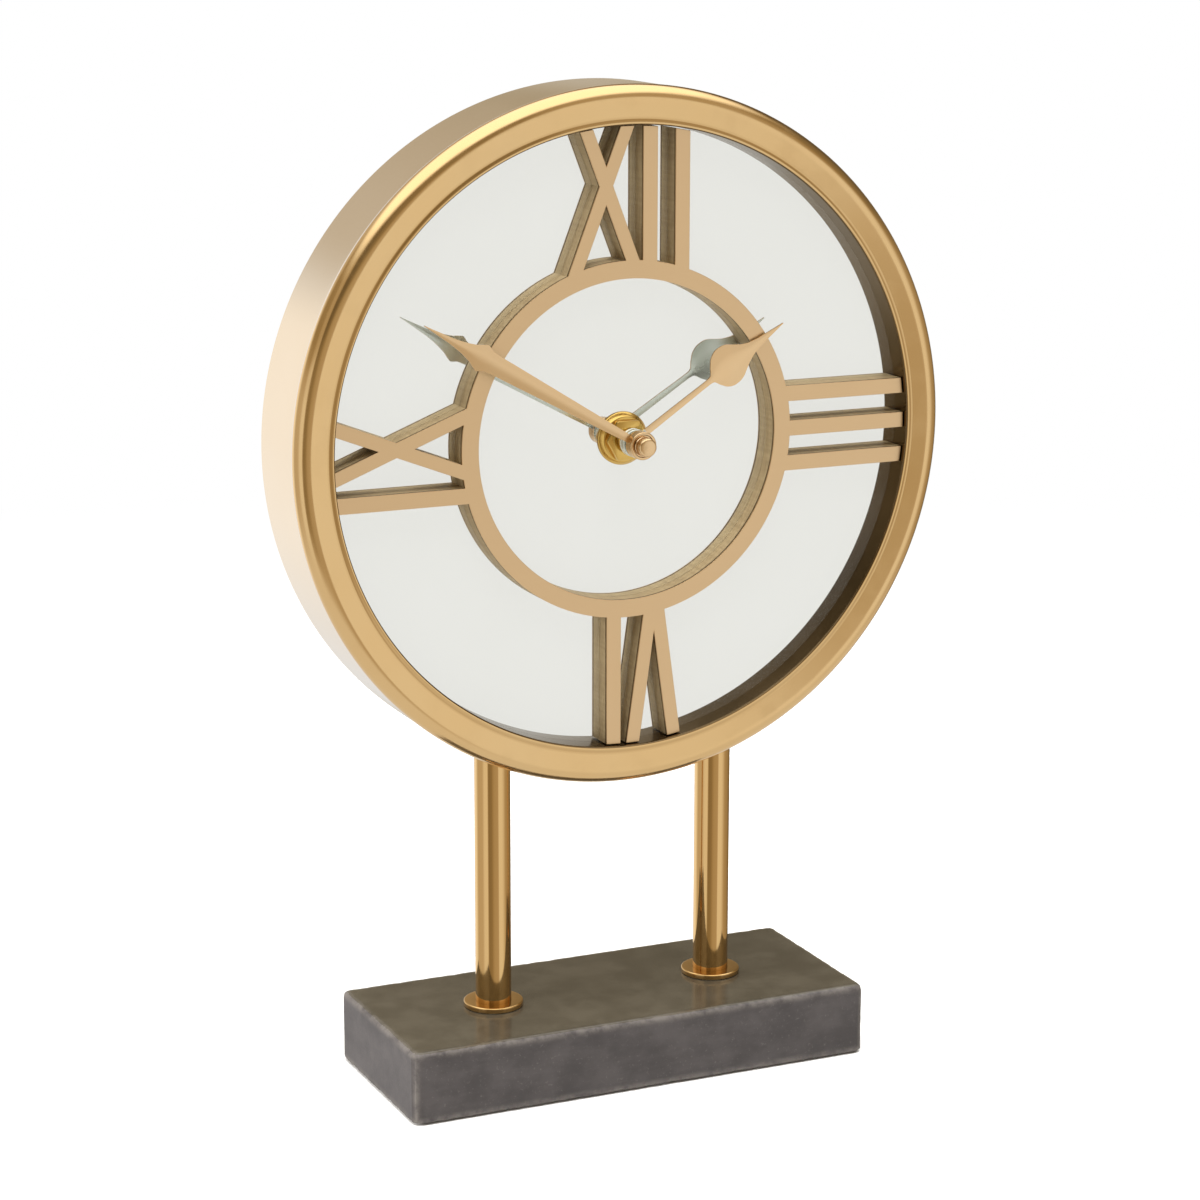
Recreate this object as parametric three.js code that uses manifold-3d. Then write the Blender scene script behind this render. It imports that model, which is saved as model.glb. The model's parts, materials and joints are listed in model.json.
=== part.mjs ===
// Mantel clock: a round metal case with a mirror dial, held on two tubes above a stone block,
// with a battery quartz movement behind the dial.
// Millimetres, +Z up. The dial faces -Y. The origin is the centre of the underside, on the surface
// that the clock stands on.
import * as THREE from 'three';
import { mergeVertices } from 'three/addons/utils/BufferGeometryUtils.js';
import Module from 'manifold-3d';

const wasm = await Module();
wasm.setup();

// ---------------------------------------------------------------- driving dimensions

// Stone block and its pad
const baseWidth = 181;
const baseDepth = 75.5;
const blockHeight = 26.1;
const padThickness = 0.8;
const padInset = 3;
const topChamfer = 2.6;
const cornerChamfer = 3;

// Posts, collars and tie rods
const postSpacing = 89;
const postRadius = 6.6;
const postWall = 1.2;
const standGap = 86; // top of the block to the lowest point of the case
const collarRadius = 11;
const collarHeight = 2;
const collarEdge = 0.5;
const rodRadius = 3;
const rodEnd = 2; // thread that shows past a nut
const rodNutFlats = 10;
const rodNutHeight = 5;
const rodWasherRadius = 6.2;
const rodWasherThickness = 1.5;
const counterboreRadius = 8;
const counterboreDepth = 10;
const barThickness = 3;
const barWidth = 16;
const barMargin = 5; // bar beyond the outer side of a post

// Case
const caseRadius = 125;
const caseDepth = 38.8;
const sheet = 1.2;
const beadRadius = 3;
const beadWrap = 45; // degrees that the bead turns past its crest
const faceDish = 0.6;
const bezelWidth = 13.9; // outside of the drum to the lip
const lipRound = 1;
const lipSet = 0.4; // lip crest behind the bead crest
const recessDepth = 9.3; // bead crest to the mirror
const caseBehindPosts = 14.5; // post axis to the rear edge of the case

// Mirror, backing and fretwork
const mirrorGap = 4.8; // between the mirror and the drum round it
const mirrorThickness = 3;
const backingGap = 1.8;
const backingThickness = 3;
const ringInner = 57.6;
const ringOuter = 64;
const fretHeight = 5.9;
const fretFace = 0.5;
const barStroke = 5.6;
const crossStroke = 5.2;
const crossSlope = 0.39; // sideways run of an X or V limb per unit of height
const veeSlope = 0.14;
const limbRoot = 6; // limb inside the ring, before it is cut back
const limbPast = 2; // limb past the lip, before it is cut back

// Limbs of the numerals, as distances to the right of a numeral's middle line
const twelveCross = -9.2;
const twelveCrossRise = 2.6; // crossing above the middle of the numeral's height
const twelveStems = [7.7, 20.2];
const threeStems = [-12.7, 0, 12.7];
const sixVee = -10;
const sixStem = 5.9;
const nineStem = -15;
const nineCross = 3;
const nineCrossRise = 0.4;

// Rear cover and its spacers
const coverThickness = 2;
const coverSet = 1.8; // cover behind the rear edge of the case
const windowGap = 6; // round the movement
const windowRound = 5;
const spacerLength = 16;
const spacerWidth = 12;
const spacerInset = 10.8; // drum wall to the middle of a spacer
const screwRadius = 1.5;
const screwHeadRadius = 3;
const screwHeadHeight = 1.5;
const screwReach = 12;

// Quartz movement
const moveTop = 28; // arbor to the upper side of the housing
const wheelSpace = 10.2; // arbor to the wall above the battery
const moveWall = 1.2;
const frontWall = 1.5;
const lidThickness = 1.5;
const gasketThickness = 1;
const gasketRadius = 12;
const bushRadius = 3.9;
const bushBore = 2.65;
const bushReach = 6.9; // bush in front of the mirror
const bushFlangeRadius = 6;
const bushFlange = 0.6;
const dialWasherRadius = 9.6;
const dialWasherThickness = 2.6;
const dialWasherFlat = 8.2; // radius of the washer's flat front
const dialWasherEdge = 0.8; // thickness at the rim
const dialNutFlats = 14;
const dialNutHeight = 3;

// Hands and arbors
const hourPipeBore = 1.75;
const hourClear = 1.3; // tip of the hour hand above the fretwork
const hourLean = 2.2; // rise of the hour hand from its tip to the arbor
const hourCollarRise = 2.3; // front of the collar above the hand
const hourCollarDrop = 1.5; // back of the collar below the hand
const hourLength = 71.3;
const hourAngle = 57.2; // degrees clockwise from twelve
const minuteClear = 3.9; // tip of the minute hand above the tip of the hour hand
const minuteLean = 3.8;
const minuteCollarRise = 2.8;
const minuteCollarDrop = 1.8;
const minuteLength = 91.8;
const minuteAngle = -59.8;
const handCollarRadius = 5;
const handThickness = 0.6;
const handCrease = 0.14; // rise of the centre line per unit of half width
const capRadius = 3.4;
const capRise = 4.2; // front of the nut above the minute hand's collar
const capEdge = 0.7;
const arborTip = 1.35;
const arborShow = 1.8; // arbor in front of the minute hand's collar
const pipeSink = 1.2; // front of the hour pipe behind the front of its collar
const centreArbor = 0.9;
const pivotRadius = 0.6;
const pivotDepth = 0.8;

// Half widths of the hands, as [distance from the arbor, half width]
const hourStations = [
  [0, 1.3], [37.4, 1], [39, 3.8], [41, 6.2], [43.5, 7.3], [46, 7.6], [48.5, 7], [51, 5.3], [53.5, 3.6],
  [56.5, 2.3], [60, 1.5], [hourLength, 0.15],
];
const minuteStations = [
  [0, 1.3], [64, 3.6], [67.6, 4.9], [71, 3.3], [75, 2.1], [80, 1.2], [minuteLength, 0.15],
];

// Setting knob
const knobStemRadius = 1.6;
const knobRadius = 4.6;
const knobHeight = 3;
const knobFlutes = 18;
const knobGap = 0.3; // lid to the knob

// Wheel train. The depths of its layers run from the front plate to the lid.
const motionModule = 0.4;
const hourModule = 0.32;
const trainModule = 0.33;
const cannonTeeth = 12;
const motionTeeth = 36;
const motionPinionTeeth = 12;
const hourTeeth = 48;
const centreTeeth = 48;
const thirdPinionTeeth = 6;
const thirdTeeth = 45;
const secondsPinionTeeth = 6;
const secondsTeeth = 24;
const rotorTeeth = 6;
const addendum = 0.8; // in modules
const dedendum = 1.1;
const rootShare = 0.27; // half width of a tooth at its root, as a share of the pitch
const tipShare = 0.1;
const wheelThickness = 1;
const pinionThickness = 1.6;
const layerGap = 1; // from one layer of wheels to the next
const closeGap = 0.9; // in front of the hour wheel, and from the centre wheel to the third wheel
const motionBearing = 150; // degrees from +X towards +Z, from the arbor
const knobBearing = 225; // from the motion wheel
const thirdBearing = 30; // from the arbor
const secondsBearing = 90; // from the third wheel

// Stepping motor and circuit board, which stand on pillars of the housing
const rotorAxis = [-6, 16.5]; // to the right of the arbor and above it
const rotorRadius = 2.9;
const rotorGap = 0.7;
const magnetHalf = 1.4;
const limbHalf = 5; // half the width of the stator limb that holds the rotor
const statorWidth = 23;
const statorHalfHeight = 7.5;
const statorThickness = 0.8;
const statorDrop = 3.5; // lid to the front of the stator
const yoke = 3; // width of the stator's other limbs
const coilHalf = 3;
const coilWall = 2.4;
const coilGap = 0.3; // at each end of the coil
const coilSlip = 0.1;
const boardLeft = 13;
const boardSideGap = 0.2;
const boardTopGap = 0.4;
const boardDrop = 2; // lid to the front of the board
const boardThickness = 1;
const boardLow = 5;
const pillar = 2.4;
const crystalRadius = 1;
const crystalLength = 6;

// Battery
const batteryRadius = 7.1;
const batteryHalf = 24.6;
const batteryNub = 1;
const batteryNubRadius = 2.7;
const cellGap = 0.6; // between the battery and the walls above and below it
const cellRoom = 1.3; // behind the battery, to the rear of the housing
const contactRoom = 1.2; // at each end of the battery
const cellSet = 0.15; // front plate to the battery
const cellFoot = 0.4; // rounding of the flat end
const cellShoulder = 0.6;
const contactThickness = 0.4;
const contactHalf = 5.5;
const contactGap = 0.1; // contact to the end wall
const contactStart = 0.3; // front plate to the contact
const contactEnd = 1.5; // contact to the rear of the housing

// Clearances
const seat = 0.05; // between faces that rest on each other
const slip = 0.05; // round a shaft in its bore
const holeGap = 0.4; // round what passes through a drilled hole
const fretGap = 0.4; // between the numerals and the wall of the recess
const drumGap = 0.8; // between a disc and the drum round it

// How solids are joined and cut
const overlap = 0.5; // a piece runs this far into the piece it is joined to
const overcut = 1; // a cut runs this far past what it cuts
const weld = 1e-4; // points nearer than this are one point

// Fineness of round stretches, in flats per turn
const drumFlats = 60;
const plateFlats = 48;
const fretFlats = 64;
const postFlats = 28;
const washerFlats = 32;
const shaftFlats = 24;
const rodFlats = 20;
const headFlats = 16;
const screwFlats = 12;
const pivotFlats = 8;
const cornerFlats = 4; // in one rounded corner

// ---------------------------------------------------------------- places worked out

const blockTop = padThickness + blockHeight;
const dialZ = blockTop + standGap + caseRadius;
const caseBackY = caseBehindPosts;
const caseFrontY = caseBackY - caseDepth;
const mirrorY = caseFrontY + recessDepth; // front of the mirror
const drumInner = caseRadius - sheet;
const lipRadius = caseRadius - bezelWidth;
const mirrorRadius = drumInner - mirrorGap;
const backingRadius = drumInner - backingGap;
const spacerRadius = drumInner - spacerInset;
const backingBack = mirrorThickness + backingThickness; // depths are measured behind the mirror front
const caseBack = caseDepth - recessDepth;
const coverBack = caseBack - coverSet;
const coverFront = coverBack - coverThickness;
const moveFront = backingBack + gasketThickness;
const moveInside = moveFront + frontWall;
const moveBack = moveInside + 2 * batteryRadius + cellRoom;
const moveSide = batteryHalf + batteryNub + contactRoom + moveWall; // arbor to the left or right side
const lidStart = -(wheelSpace + moveWall / 2);
const batteryHeight = -(wheelSpace + moveWall + cellGap + batteryRadius);
const moveLow = batteryHeight - batteryRadius - cellGap - moveWall;
const lidFront = moveBack - lidThickness;
const fretFront = -(fretHeight + fretFace); // negative depths are in front of the mirror
const numeralMiddle = (ringOuter + lipRadius) / 2;
const hourTipHeight = hourClear - fretFront; // heights are in front of the mirror
const hourHeight = hourTipHeight + hourLean;
const hourCollarHeight = hourHeight + hourCollarRise;
const minuteTipHeight = hourTipHeight + minuteClear;
const minuteHeight = minuteTipHeight + minuteLean;
const minuteCollarHeight = minuteHeight + minuteCollarRise;
const capHeight = minuteCollarHeight + capRise;
const barReach = postSpacing / 2 + postRadius + barMargin;
const barUnderside = dialZ - Math.sqrt(drumInner ** 2 - (barReach + drumGap) ** 2);

// Layers of wheels, from the front plate to the lid
const hourWheelAt = moveInside + closeGap;
const motionAt = hourWheelAt + wheelThickness + layerGap;
const centreAt = motionAt + wheelThickness + layerGap;
const thirdAt = centreAt + wheelThickness + closeGap;
const secondsAt = thirdAt + wheelThickness + layerGap;
const stackLean = (pinionThickness - wheelThickness) / 2; // pinion past each side of its wheel

const meshed = (module, a, b) => (module * (a + b)) / 2;
const polar = (from, degrees, distance) => [
  from[0] + distance * Math.cos(THREE.MathUtils.degToRad(degrees)),
  from[1] + distance * Math.sin(THREE.MathUtils.degToRad(degrees)),
];
const centreAxis = [0, 0];
const motionAxis = polar(centreAxis, motionBearing, meshed(motionModule, cannonTeeth, motionTeeth));
const knobAxis = polar(motionAxis, knobBearing, meshed(motionModule, motionTeeth, cannonTeeth));
const thirdAxis = polar(centreAxis, thirdBearing, meshed(trainModule, centreTeeth, thirdPinionTeeth));
const secondsAxis = polar(thirdAxis, secondsBearing, meshed(trainModule, thirdTeeth, secondsPinionTeeth));

// ---------------------------------------------------------------- materials

const finish = (color, roughness, metalness) => ({ color, roughness, metalness });
const finishes = {
  gold: finish(0xd9b27c, 0.25, 1),
  face: finish(0xdec096, 0.4, 1),
  fret: finish(0x8a765a, 0.6, 0.3),
  brass: finish(0xc99a4a, 0.2, 1),
  steel: finish(0xb8babd, 0.35, 1),
  stone: finish(0x6b6663, 0.5, 0),
  felt: finish(0x2b2a29, 0.95, 0),
  mirror: finish(0xe6e8e2, 0.03, 1),
  board: finish(0x7a5c3c, 0.85, 0),
  black: finish(0x1c1c1d, 0.5, 0),
  white: finish(0xe8e6df, 0.5, 0),
  copper: finish(0xa8582c, 0.35, 1),
  green: finish(0x2f5a3a, 0.6, 0),
  cell: finish(0x30343a, 0.35, 0.2),
};

// ---------------------------------------------------------------- solids

// Turns a closed three.js geometry into a solid whose faces point outwards.
function solid(geometry) {
  const bare = geometry.clone();
  bare.deleteAttribute('normal');
  bare.deleteAttribute('uv');
  const merged = mergeVertices(bare, weld);
  const position = merged.getAttribute('position');
  const corner = (i) => new THREE.Vector3().fromBufferAttribute(position, i);
  const triangles = [];
  let volume = 0;
  for (let i = 0; i < merged.index.count; i += 3) {
    const [a, b, c] = [0, 1, 2].map((k) => merged.index.getX(i + k));
    if (a === b || b === c || c === a) continue;
    volume += corner(a).dot(corner(b).cross(corner(c)));
    triangles.push([a, b, c]);
  }
  const facing = volume < 0 ? triangles.map(([a, b, c]) => [a, c, b]) : triangles;
  return new wasm.Manifold(new wasm.Mesh({
    numProp: 3,
    vertProperties: new Float32Array(position.array),
    triVerts: new Uint32Array(facing.flat()),
  }));
}

// A turned piece on the dial axis: the profile holds [radius, depth] pairs.
function turned(profile, segments = washerFlats) {
  const points = profile.map(([r, y]) => new THREE.Vector2(r, y));
  return solid(new THREE.LatheGeometry(points, segments));
}

// A ring, or a disc where the inner radius is 0, between two depths.
function disc(outer, inner, front, back, segments = washerFlats) {
  const profile = [[inner, front], [outer, front], [outer, back], [inner, back]];
  if (inner > 0) profile.push([inner, front]);
  return turned(profile, segments);
}

// A turned piece that stands upright: the profile holds [radius, height] pairs.
function upright(profile, segments = washerFlats) {
  const points = profile.map(([r, z]) => new THREE.Vector2(r, z));
  return solid(new THREE.LatheGeometry(points, segments).rotateX(Math.PI / 2));
}

function uprightRing(outer, inner, low, high, segments = washerFlats) {
  const profile = [[inner, low], [outer, low], [outer, high], [inner, high]];
  if (inner > 0) profile.push([inner, low]);
  return upright(profile, segments);
}

// An outline drawn on the dial, x to the right and y up, made solid between two depths.
function slab(shape, front, back, curveSegments = 8) {
  const settings = { depth: back - front, bevelEnabled: false, curveSegments };
  const geometry = new THREE.ExtrudeGeometry(shape, settings);
  return solid(geometry.rotateX(Math.PI / 2).translate(0, back, 0));
}

function outline(points) {
  return new THREE.Shape(points.map(([x, y]) => new THREE.Vector2(x, y)));
}

// A block between two corners.
function block(low, high) {
  const size = high.map((value, i) => value - low[i]);
  const geometry = new THREE.BoxGeometry(...size);
  return solid(geometry.translate(...low.map((value, i) => value + size[i] / 2)));
}

function roundedOblong(half, low, high, round) {
  const shape = new THREE.Shape();
  const side = half - round;
  const corners = [
    [side, high - round, 0], [-side, high - round, 90], [-side, low + round, 180], [side, low + round, 270],
  ];
  for (const [x, y, degrees] of corners) {
    const start = THREE.MathUtils.degToRad(degrees);
    shape.absarc(x, y, round, start, start + Math.PI / 2, false);
  }
  return shape;
}

function hexagon(flats) {
  const corner = flats / Math.sqrt(3);
  return outline([0, 1, 2, 3, 4, 5].map((i) => polar([0, 0], 60 * i, corner)));
}

// A spur gear between two depths. phase is the bearing of one tooth, in degrees.
function gear(module, teeth, front, back, phase = 0) {
  const pitch = 360 / teeth;
  const rootRadius = (module * teeth) / 2 - dedendum * module;
  const tipRadius = (module * teeth) / 2 + addendum * module;
  const points = [];
  for (let i = 0; i < teeth; i += 1) {
    const middle = phase + i * pitch;
    points.push(polar([0, 0], middle - rootShare * pitch, rootRadius));
    points.push(polar([0, 0], middle - tipShare * pitch, tipRadius));
    points.push(polar([0, 0], middle + tipShare * pitch, tipRadius));
    points.push(polar([0, 0], middle + rootShare * pitch, rootRadius));
  }
  return slab(outline(points), front, back);
}

// The bearing of a tooth on a driven gear that puts a gap opposite the driver's tooth.
function driven(bearing, driverTeeth, driverPhase, teeth) {
  const pitch = 360 / teeth;
  const intoDriver = ((bearing - driverPhase) / 360) * driverTeeth;
  const fraction = intoDriver - Math.floor(intoDriver);
  return bearing + 180 + (0.5 + fraction) * pitch;
}

// ---------------------------------------------------------------- the scene graph

const clock = new THREE.Group();
const dial = new THREE.Group(); // pieces on the dial axis, with depths behind the mirror front
dial.position.set(0, mirrorY, dialZ);
clock.add(dial);

function add(group, name, manifold, finishName, place = [0, 0, 0]) {
  const mesh = manifold.getMesh();
  const geometry = new THREE.BufferGeometry();
  geometry.setAttribute('position', new THREE.BufferAttribute(mesh.vertProperties, 3));
  geometry.setIndex(new THREE.BufferAttribute(mesh.triVerts, 1));
  geometry.computeVertexNormals();
  const piece = new THREE.Mesh(geometry, new THREE.MeshStandardMaterial(finishes[finishName]));
  piece.name = name;
  piece.position.set(...place);
  group.add(piece);
  return piece;
}

const sides = [['left', -1], ['right', 1]];

// ---------------------------------------------------------------- stand

function baseBlock() {
  const w = baseWidth / 2;
  const d = baseDepth / 2;
  const c = cornerChamfer;
  const plan = outline([
    [-w + c, -d], [w - c, -d], [w, -d + c], [w, d - c], [w - c, d], [-w + c, d], [-w, d - c], [-w, -d + c],
  ]);
  const prism = solid(new THREE.ExtrudeGeometry(plan, { depth: blockHeight, bevelEnabled: false }));
  const h = blockHeight;
  const t = topChamfer;
  const frontView = outline([[-w, 0], [w, 0], [w, h - t], [w - t, h], [-w + t, h], [-w, h - t]]);
  const sideView = outline([[-d, 0], [d, 0], [d, h - t], [d - t, h], [-d + t, h], [-d, h - t]]);
  const acrossDepth = slab(frontView, -d, d);
  const alongWidth = solid(
    new THREE.ExtrudeGeometry(sideView, { depth: baseWidth, bevelEnabled: false })
      .rotateX(Math.PI / 2).rotateZ(Math.PI / 2).translate(-w, 0, 0),
  );
  const bore = uprightRing(rodRadius + holeGap, 0, -overcut, h + overcut, rodFlats);
  const counterbore = uprightRing(counterboreRadius, 0, -overcut, counterboreDepth, shaftFlats);
  let stone = prism.intersect(acrossDepth).intersect(alongWidth);
  for (const [, side] of sides) {
    const x = (side * postSpacing) / 2;
    stone = stone.subtract(bore.translate(x, 0, 0)).subtract(counterbore.translate(x, 0, 0));
  }
  return stone;
}

add(clock, 'base_block', baseBlock(), 'stone', [0, 0, padThickness]);
add(clock, 'base_pad', block(
  [padInset - baseWidth / 2, padInset - baseDepth / 2, 0],
  [baseWidth / 2 - padInset, baseDepth / 2 - padInset, padThickness - seat],
), 'felt');

const postBottom = blockTop + seat;
const postTop = barUnderside - seat;
const lowerWasherTop = padThickness + counterboreDepth - seat;
const lowerWasherBottom = lowerWasherTop - rodWasherThickness;
const lowerNutTop = lowerWasherBottom - seat;
const lowerNutBottom = lowerNutTop - rodNutHeight;
const barTop = barUnderside + barThickness;
const upperWasherBottom = barTop + seat;
const upperNutBottom = upperWasherBottom + rodWasherThickness + seat;
const upperNutTop = upperNutBottom + rodNutHeight;

const collarProfile = [
  [postRadius + slip, postBottom],
  [collarRadius, postBottom],
  [collarRadius, postBottom + collarHeight - collarEdge],
  [collarRadius - collarEdge, postBottom + collarHeight],
  [postRadius + slip, postBottom + collarHeight],
  [postRadius + slip, postBottom],
];

function rodNut(bottom) {
  const hex = new THREE.ExtrudeGeometry(hexagon(rodNutFlats), { depth: rodNutHeight, bevelEnabled: false });
  const bore = uprightRing(rodRadius + slip, 0, -overcut, rodNutHeight + overcut, rodFlats);
  return solid(hex).subtract(bore).translate(0, 0, bottom);
}

const rodWasher = (bottom) => uprightRing(
  rodWasherRadius, rodRadius + slip, bottom, bottom + rodWasherThickness, shaftFlats,
);

for (const [name, side] of sides) {
  const place = [(side * postSpacing) / 2, 0, 0];
  add(clock, `post_${name}`, uprightRing(postRadius, postRadius - postWall, postBottom, postTop, postFlats),
    'gold', place);
  add(clock, `post_collar_${name}`, upright(collarProfile, postFlats), 'gold', place);
  add(clock, `tie_rod_${name}`, uprightRing(
    rodRadius, 0, lowerNutBottom - rodEnd, upperNutTop + rodEnd, rodFlats,
  ), 'steel', place);
  add(clock, `base_washer_${name}`, rodWasher(lowerWasherBottom), 'steel', place);
  add(clock, `base_nut_${name}`, rodNut(lowerNutBottom), 'steel', place);
  add(clock, `case_washer_${name}`, rodWasher(upperWasherBottom), 'steel', place);
  add(clock, `case_nut_${name}`, rodNut(upperNutBottom), 'steel', place);
}

// The bar lies across the bottom of the case and takes the pull of both rods.
function mountingBar() {
  let bar = block([-barReach, -barWidth / 2, barUnderside], [barReach, barWidth / 2, barTop]);
  for (const [, side] of sides) {
    const bore = uprightRing(rodRadius + slip, 0, barUnderside - overcut, barTop + overcut, rodFlats);
    bar = bar.subtract(bore.translate((side * postSpacing) / 2, 0, 0));
  }
  return bar;
}
add(clock, 'mounting_bar', mountingBar(), 'steel');

// ---------------------------------------------------------------- case

function arcPoints(centre, radius, from, to, steps) {
  const points = [];
  for (let i = 0; i <= steps; i += 1) {
    points.push(polar(centre, from + ((to - from) * i) / steps, radius));
  }
  return points;
}

// One pressing: drum wall, rolled bead, dished face, rolled lip and the wall of the recess.
// Radii are from the dial axis, depths from the crest of the bead.
function caseProfile() {
  const beadCentre = [caseRadius - beadRadius, beadRadius];
  const lipCentre = [lipRadius + lipRound, lipSet + lipRound];
  const outerBead = arcPoints(beadCentre, beadRadius, 0, -90 - beadWrap, 4);
  const innerBead = arcPoints(beadCentre, beadRadius - sheet, -90 - beadWrap, 0, 2);
  const lip = arcPoints(lipCentre, lipRound, -90, -180, 2);
  const faceStart = outerBead[outerBead.length - 1];
  const faceMiddle = [(faceStart[0] + lipCentre[0]) / 2, (faceStart[1] + lipSet) / 2 + faceDish];
  return [
    [caseRadius, caseDepth],
    ...outerBead,
    faceMiddle,
    ...lip,
    [lipRadius, recessDepth - seat],
    [lipRadius + sheet, recessDepth - seat],
    [lipRadius + sheet, lipCentre[1]],
    [faceMiddle[0], faceMiddle[1] + sheet],
    ...innerBead,
    [drumInner, caseDepth],
    [caseRadius, caseDepth],
  ];
}

function caseShell() {
  let shell = turned(caseProfile(), drumFlats).translate(0, -recessDepth, 0);
  for (const [, side] of sides) {
    const hole = uprightRing(
      postRadius + holeGap, 0, -caseRadius - overcut, -caseRadius / 2, shaftFlats,
    );
    shell = shell.subtract(hole.translate((side * postSpacing) / 2, -mirrorY, 0));
  }
  return shell;
}
add(dial, 'case_shell', caseShell(), 'gold');

const arborHole = bushRadius + holeGap;
add(dial, 'mirror_dial', disc(mirrorRadius, arborHole, 0, mirrorThickness - seat, plateFlats), 'mirror');
add(dial, 'dial_backing', disc(backingRadius, arborHole, mirrorThickness, backingBack - seat, plateFlats),
  'board');

const cornerBearings = [45, 135, 225, 315];

function rearCover() {
  let cover = disc(drumInner - drumGap, 0, coverFront, coverBack, drumFlats);
  const window = roundedOblong(moveSide + windowGap, moveLow - windowGap, moveTop + windowGap, windowRound);
  const past = [coverFront - overcut, coverBack + overcut];
  cover = cover.subtract(slab(window, ...past, cornerFlats));
  for (const bearing of cornerBearings) {
    const [x, z] = polar(centreAxis, bearing, spacerRadius);
    cover = cover.subtract(disc(screwRadius + slip, 0, ...past, screwFlats).translate(x, 0, z));
  }
  return cover;
}
add(dial, 'back_cover', rearCover(), 'black');

const screwEnd = coverBack - screwReach;
const underHead = coverBack + seat;
cornerBearings.forEach((bearing, i) => {
  const front = backingBack + seat;
  const back = coverFront - seat;
  const spacer = block(
    [-spacerWidth / 2, front, -spacerLength / 2], [spacerWidth / 2, back, spacerLength / 2],
  ).subtract(disc(screwRadius + slip, 0, screwEnd - overcut, back + overcut, screwFlats));
  const screw = disc(screwRadius, 0, screwEnd, underHead + overlap, screwFlats)
    .add(disc(screwHeadRadius, 0, underHead, underHead + screwHeadHeight, headFlats));
  const [x, z] = polar(centreAxis, bearing, spacerRadius);
  const turn = -THREE.MathUtils.degToRad(bearing);
  add(dial, `spacer_block_${i + 1}`, spacer, 'board', [x, 0, z]).rotation.y = turn;
  add(dial, `cover_screw_${i + 1}`, screw, 'steel', [x, 0, z]);
});

// ---------------------------------------------------------------- fretwork dial

// A limb of a numeral, drawn with the numeral upright: its middle is at u at the height where it
// meets another limb, and it leans sideways by slope.
function limb(u, slope, width, meets) {
  const low = ringInner - limbRoot;
  const high = lipRadius + limbPast;
  const at = (v) => u + slope * (v - meets);
  return [
    [at(low) - width / 2, low], [at(low) + width / 2, low],
    [at(high) + width / 2, high], [at(high) - width / 2, high],
  ];
}
const straight = (u) => limb(u, 0, barStroke, 0);
// The limbs of an X cross at a height above the middle of the numerals.
const cross = (u, above) => [
  limb(u, crossSlope, crossStroke, numeralMiddle + above),
  limb(u, -crossSlope, crossStroke, numeralMiddle + above),
];
// A V has its point on the ring.
const vee = (u) => [
  limb(u + crossStroke / 3, veeSlope, crossStroke, ringOuter),
  limb(u - crossStroke / 3, -veeSlope, crossStroke, ringOuter),
];

const numerals = [
  { turn: 0, limbs: [...cross(twelveCross, twelveCrossRise), ...twelveStems.map(straight)] },
  { turn: 90, limbs: threeStems.map(straight) },
  { turn: 180, limbs: [...vee(sixVee), straight(sixStem)] },
  { turn: 270, limbs: [straight(nineStem), ...cross(nineCross, nineCrossRise)] },
];

function fretwork(front, back) {
  let fret = disc(ringOuter, ringInner, front, back, fretFlats);
  for (const { turn, limbs } of numerals) {
    for (const points of limbs) {
      fret = fret.add(slab(outline(points), front, back).rotate(0, turn, 0));
    }
  }
  return fret
    .subtract(disc(ringInner, 0, front - overcut, back + overcut, fretFlats))
    .intersect(disc(lipRadius - fretGap, 0, front - overcut, back + overcut, drumFlats));
}
add(dial, 'chapter_ring', fretwork(seat - fretHeight, -seat), 'fret');
add(dial, 'chapter_ring_face', fretwork(fretFront, -fretHeight), 'face');

// ---------------------------------------------------------------- movement housing

const pivots = [motionAxis, thirdAxis, secondsAxis, rotorAxis];

const statorAt = lidFront - statorDrop;
const statorRight = rotorAxis[0] + limbHalf;
const statorLeft = statorRight - statorWidth;
const boardRight = moveSide - moveWall - boardSideGap;
const boardAt = lidFront - boardDrop;
const boardHigh = moveTop - moveWall - boardTopGap;

function movementCase() {
  const inside = moveSide - moveWall;
  const past = moveBack + overcut;
  let body = block([-moveSide, moveFront, moveLow], [moveSide, moveBack, moveTop])
    .subtract(block([-inside, moveInside, -wheelSpace], [inside, past, moveTop - moveWall]))
    .subtract(block([-inside, moveInside, moveLow + moveWall], [inside, past, -wheelSpace - moveWall]))
    .subtract(block(
      [-moveSide - overcut, lidFront - seat, lidStart - seat], [moveSide + overcut, past, moveTop + overcut],
    ))
    .subtract(disc(bushRadius + slip, 0, moveFront - overcut, moveInside + overcut, shaftFlats));
  const blind = disc(pivotRadius + slip, 0, moveInside - pivotDepth, moveInside + overcut, screwFlats);
  for (const [x, z] of [...pivots, knobAxis]) {
    body = body.subtract(blind.translate(x, 0, z));
  }
  const statorLow = rotorAxis[1] - statorHalfHeight;
  const statorHigh = rotorAxis[1] + statorHalfHeight - pillar;
  const pillars = [
    [statorLeft, statorLow, statorAt], [statorRight - pillar, statorHigh, statorAt],
    [boardRight - pillar, boardLow, boardAt], [boardRight - pillar, boardHigh - pillar, boardAt],
  ];
  for (const [x, z, top] of pillars) {
    body = body.add(block([x, moveInside - frontWall / 2, z], [x + pillar, top - seat, z + pillar]));
  }
  return body;
}
add(dial, 'movement_case', movementCase(), 'black');

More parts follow.
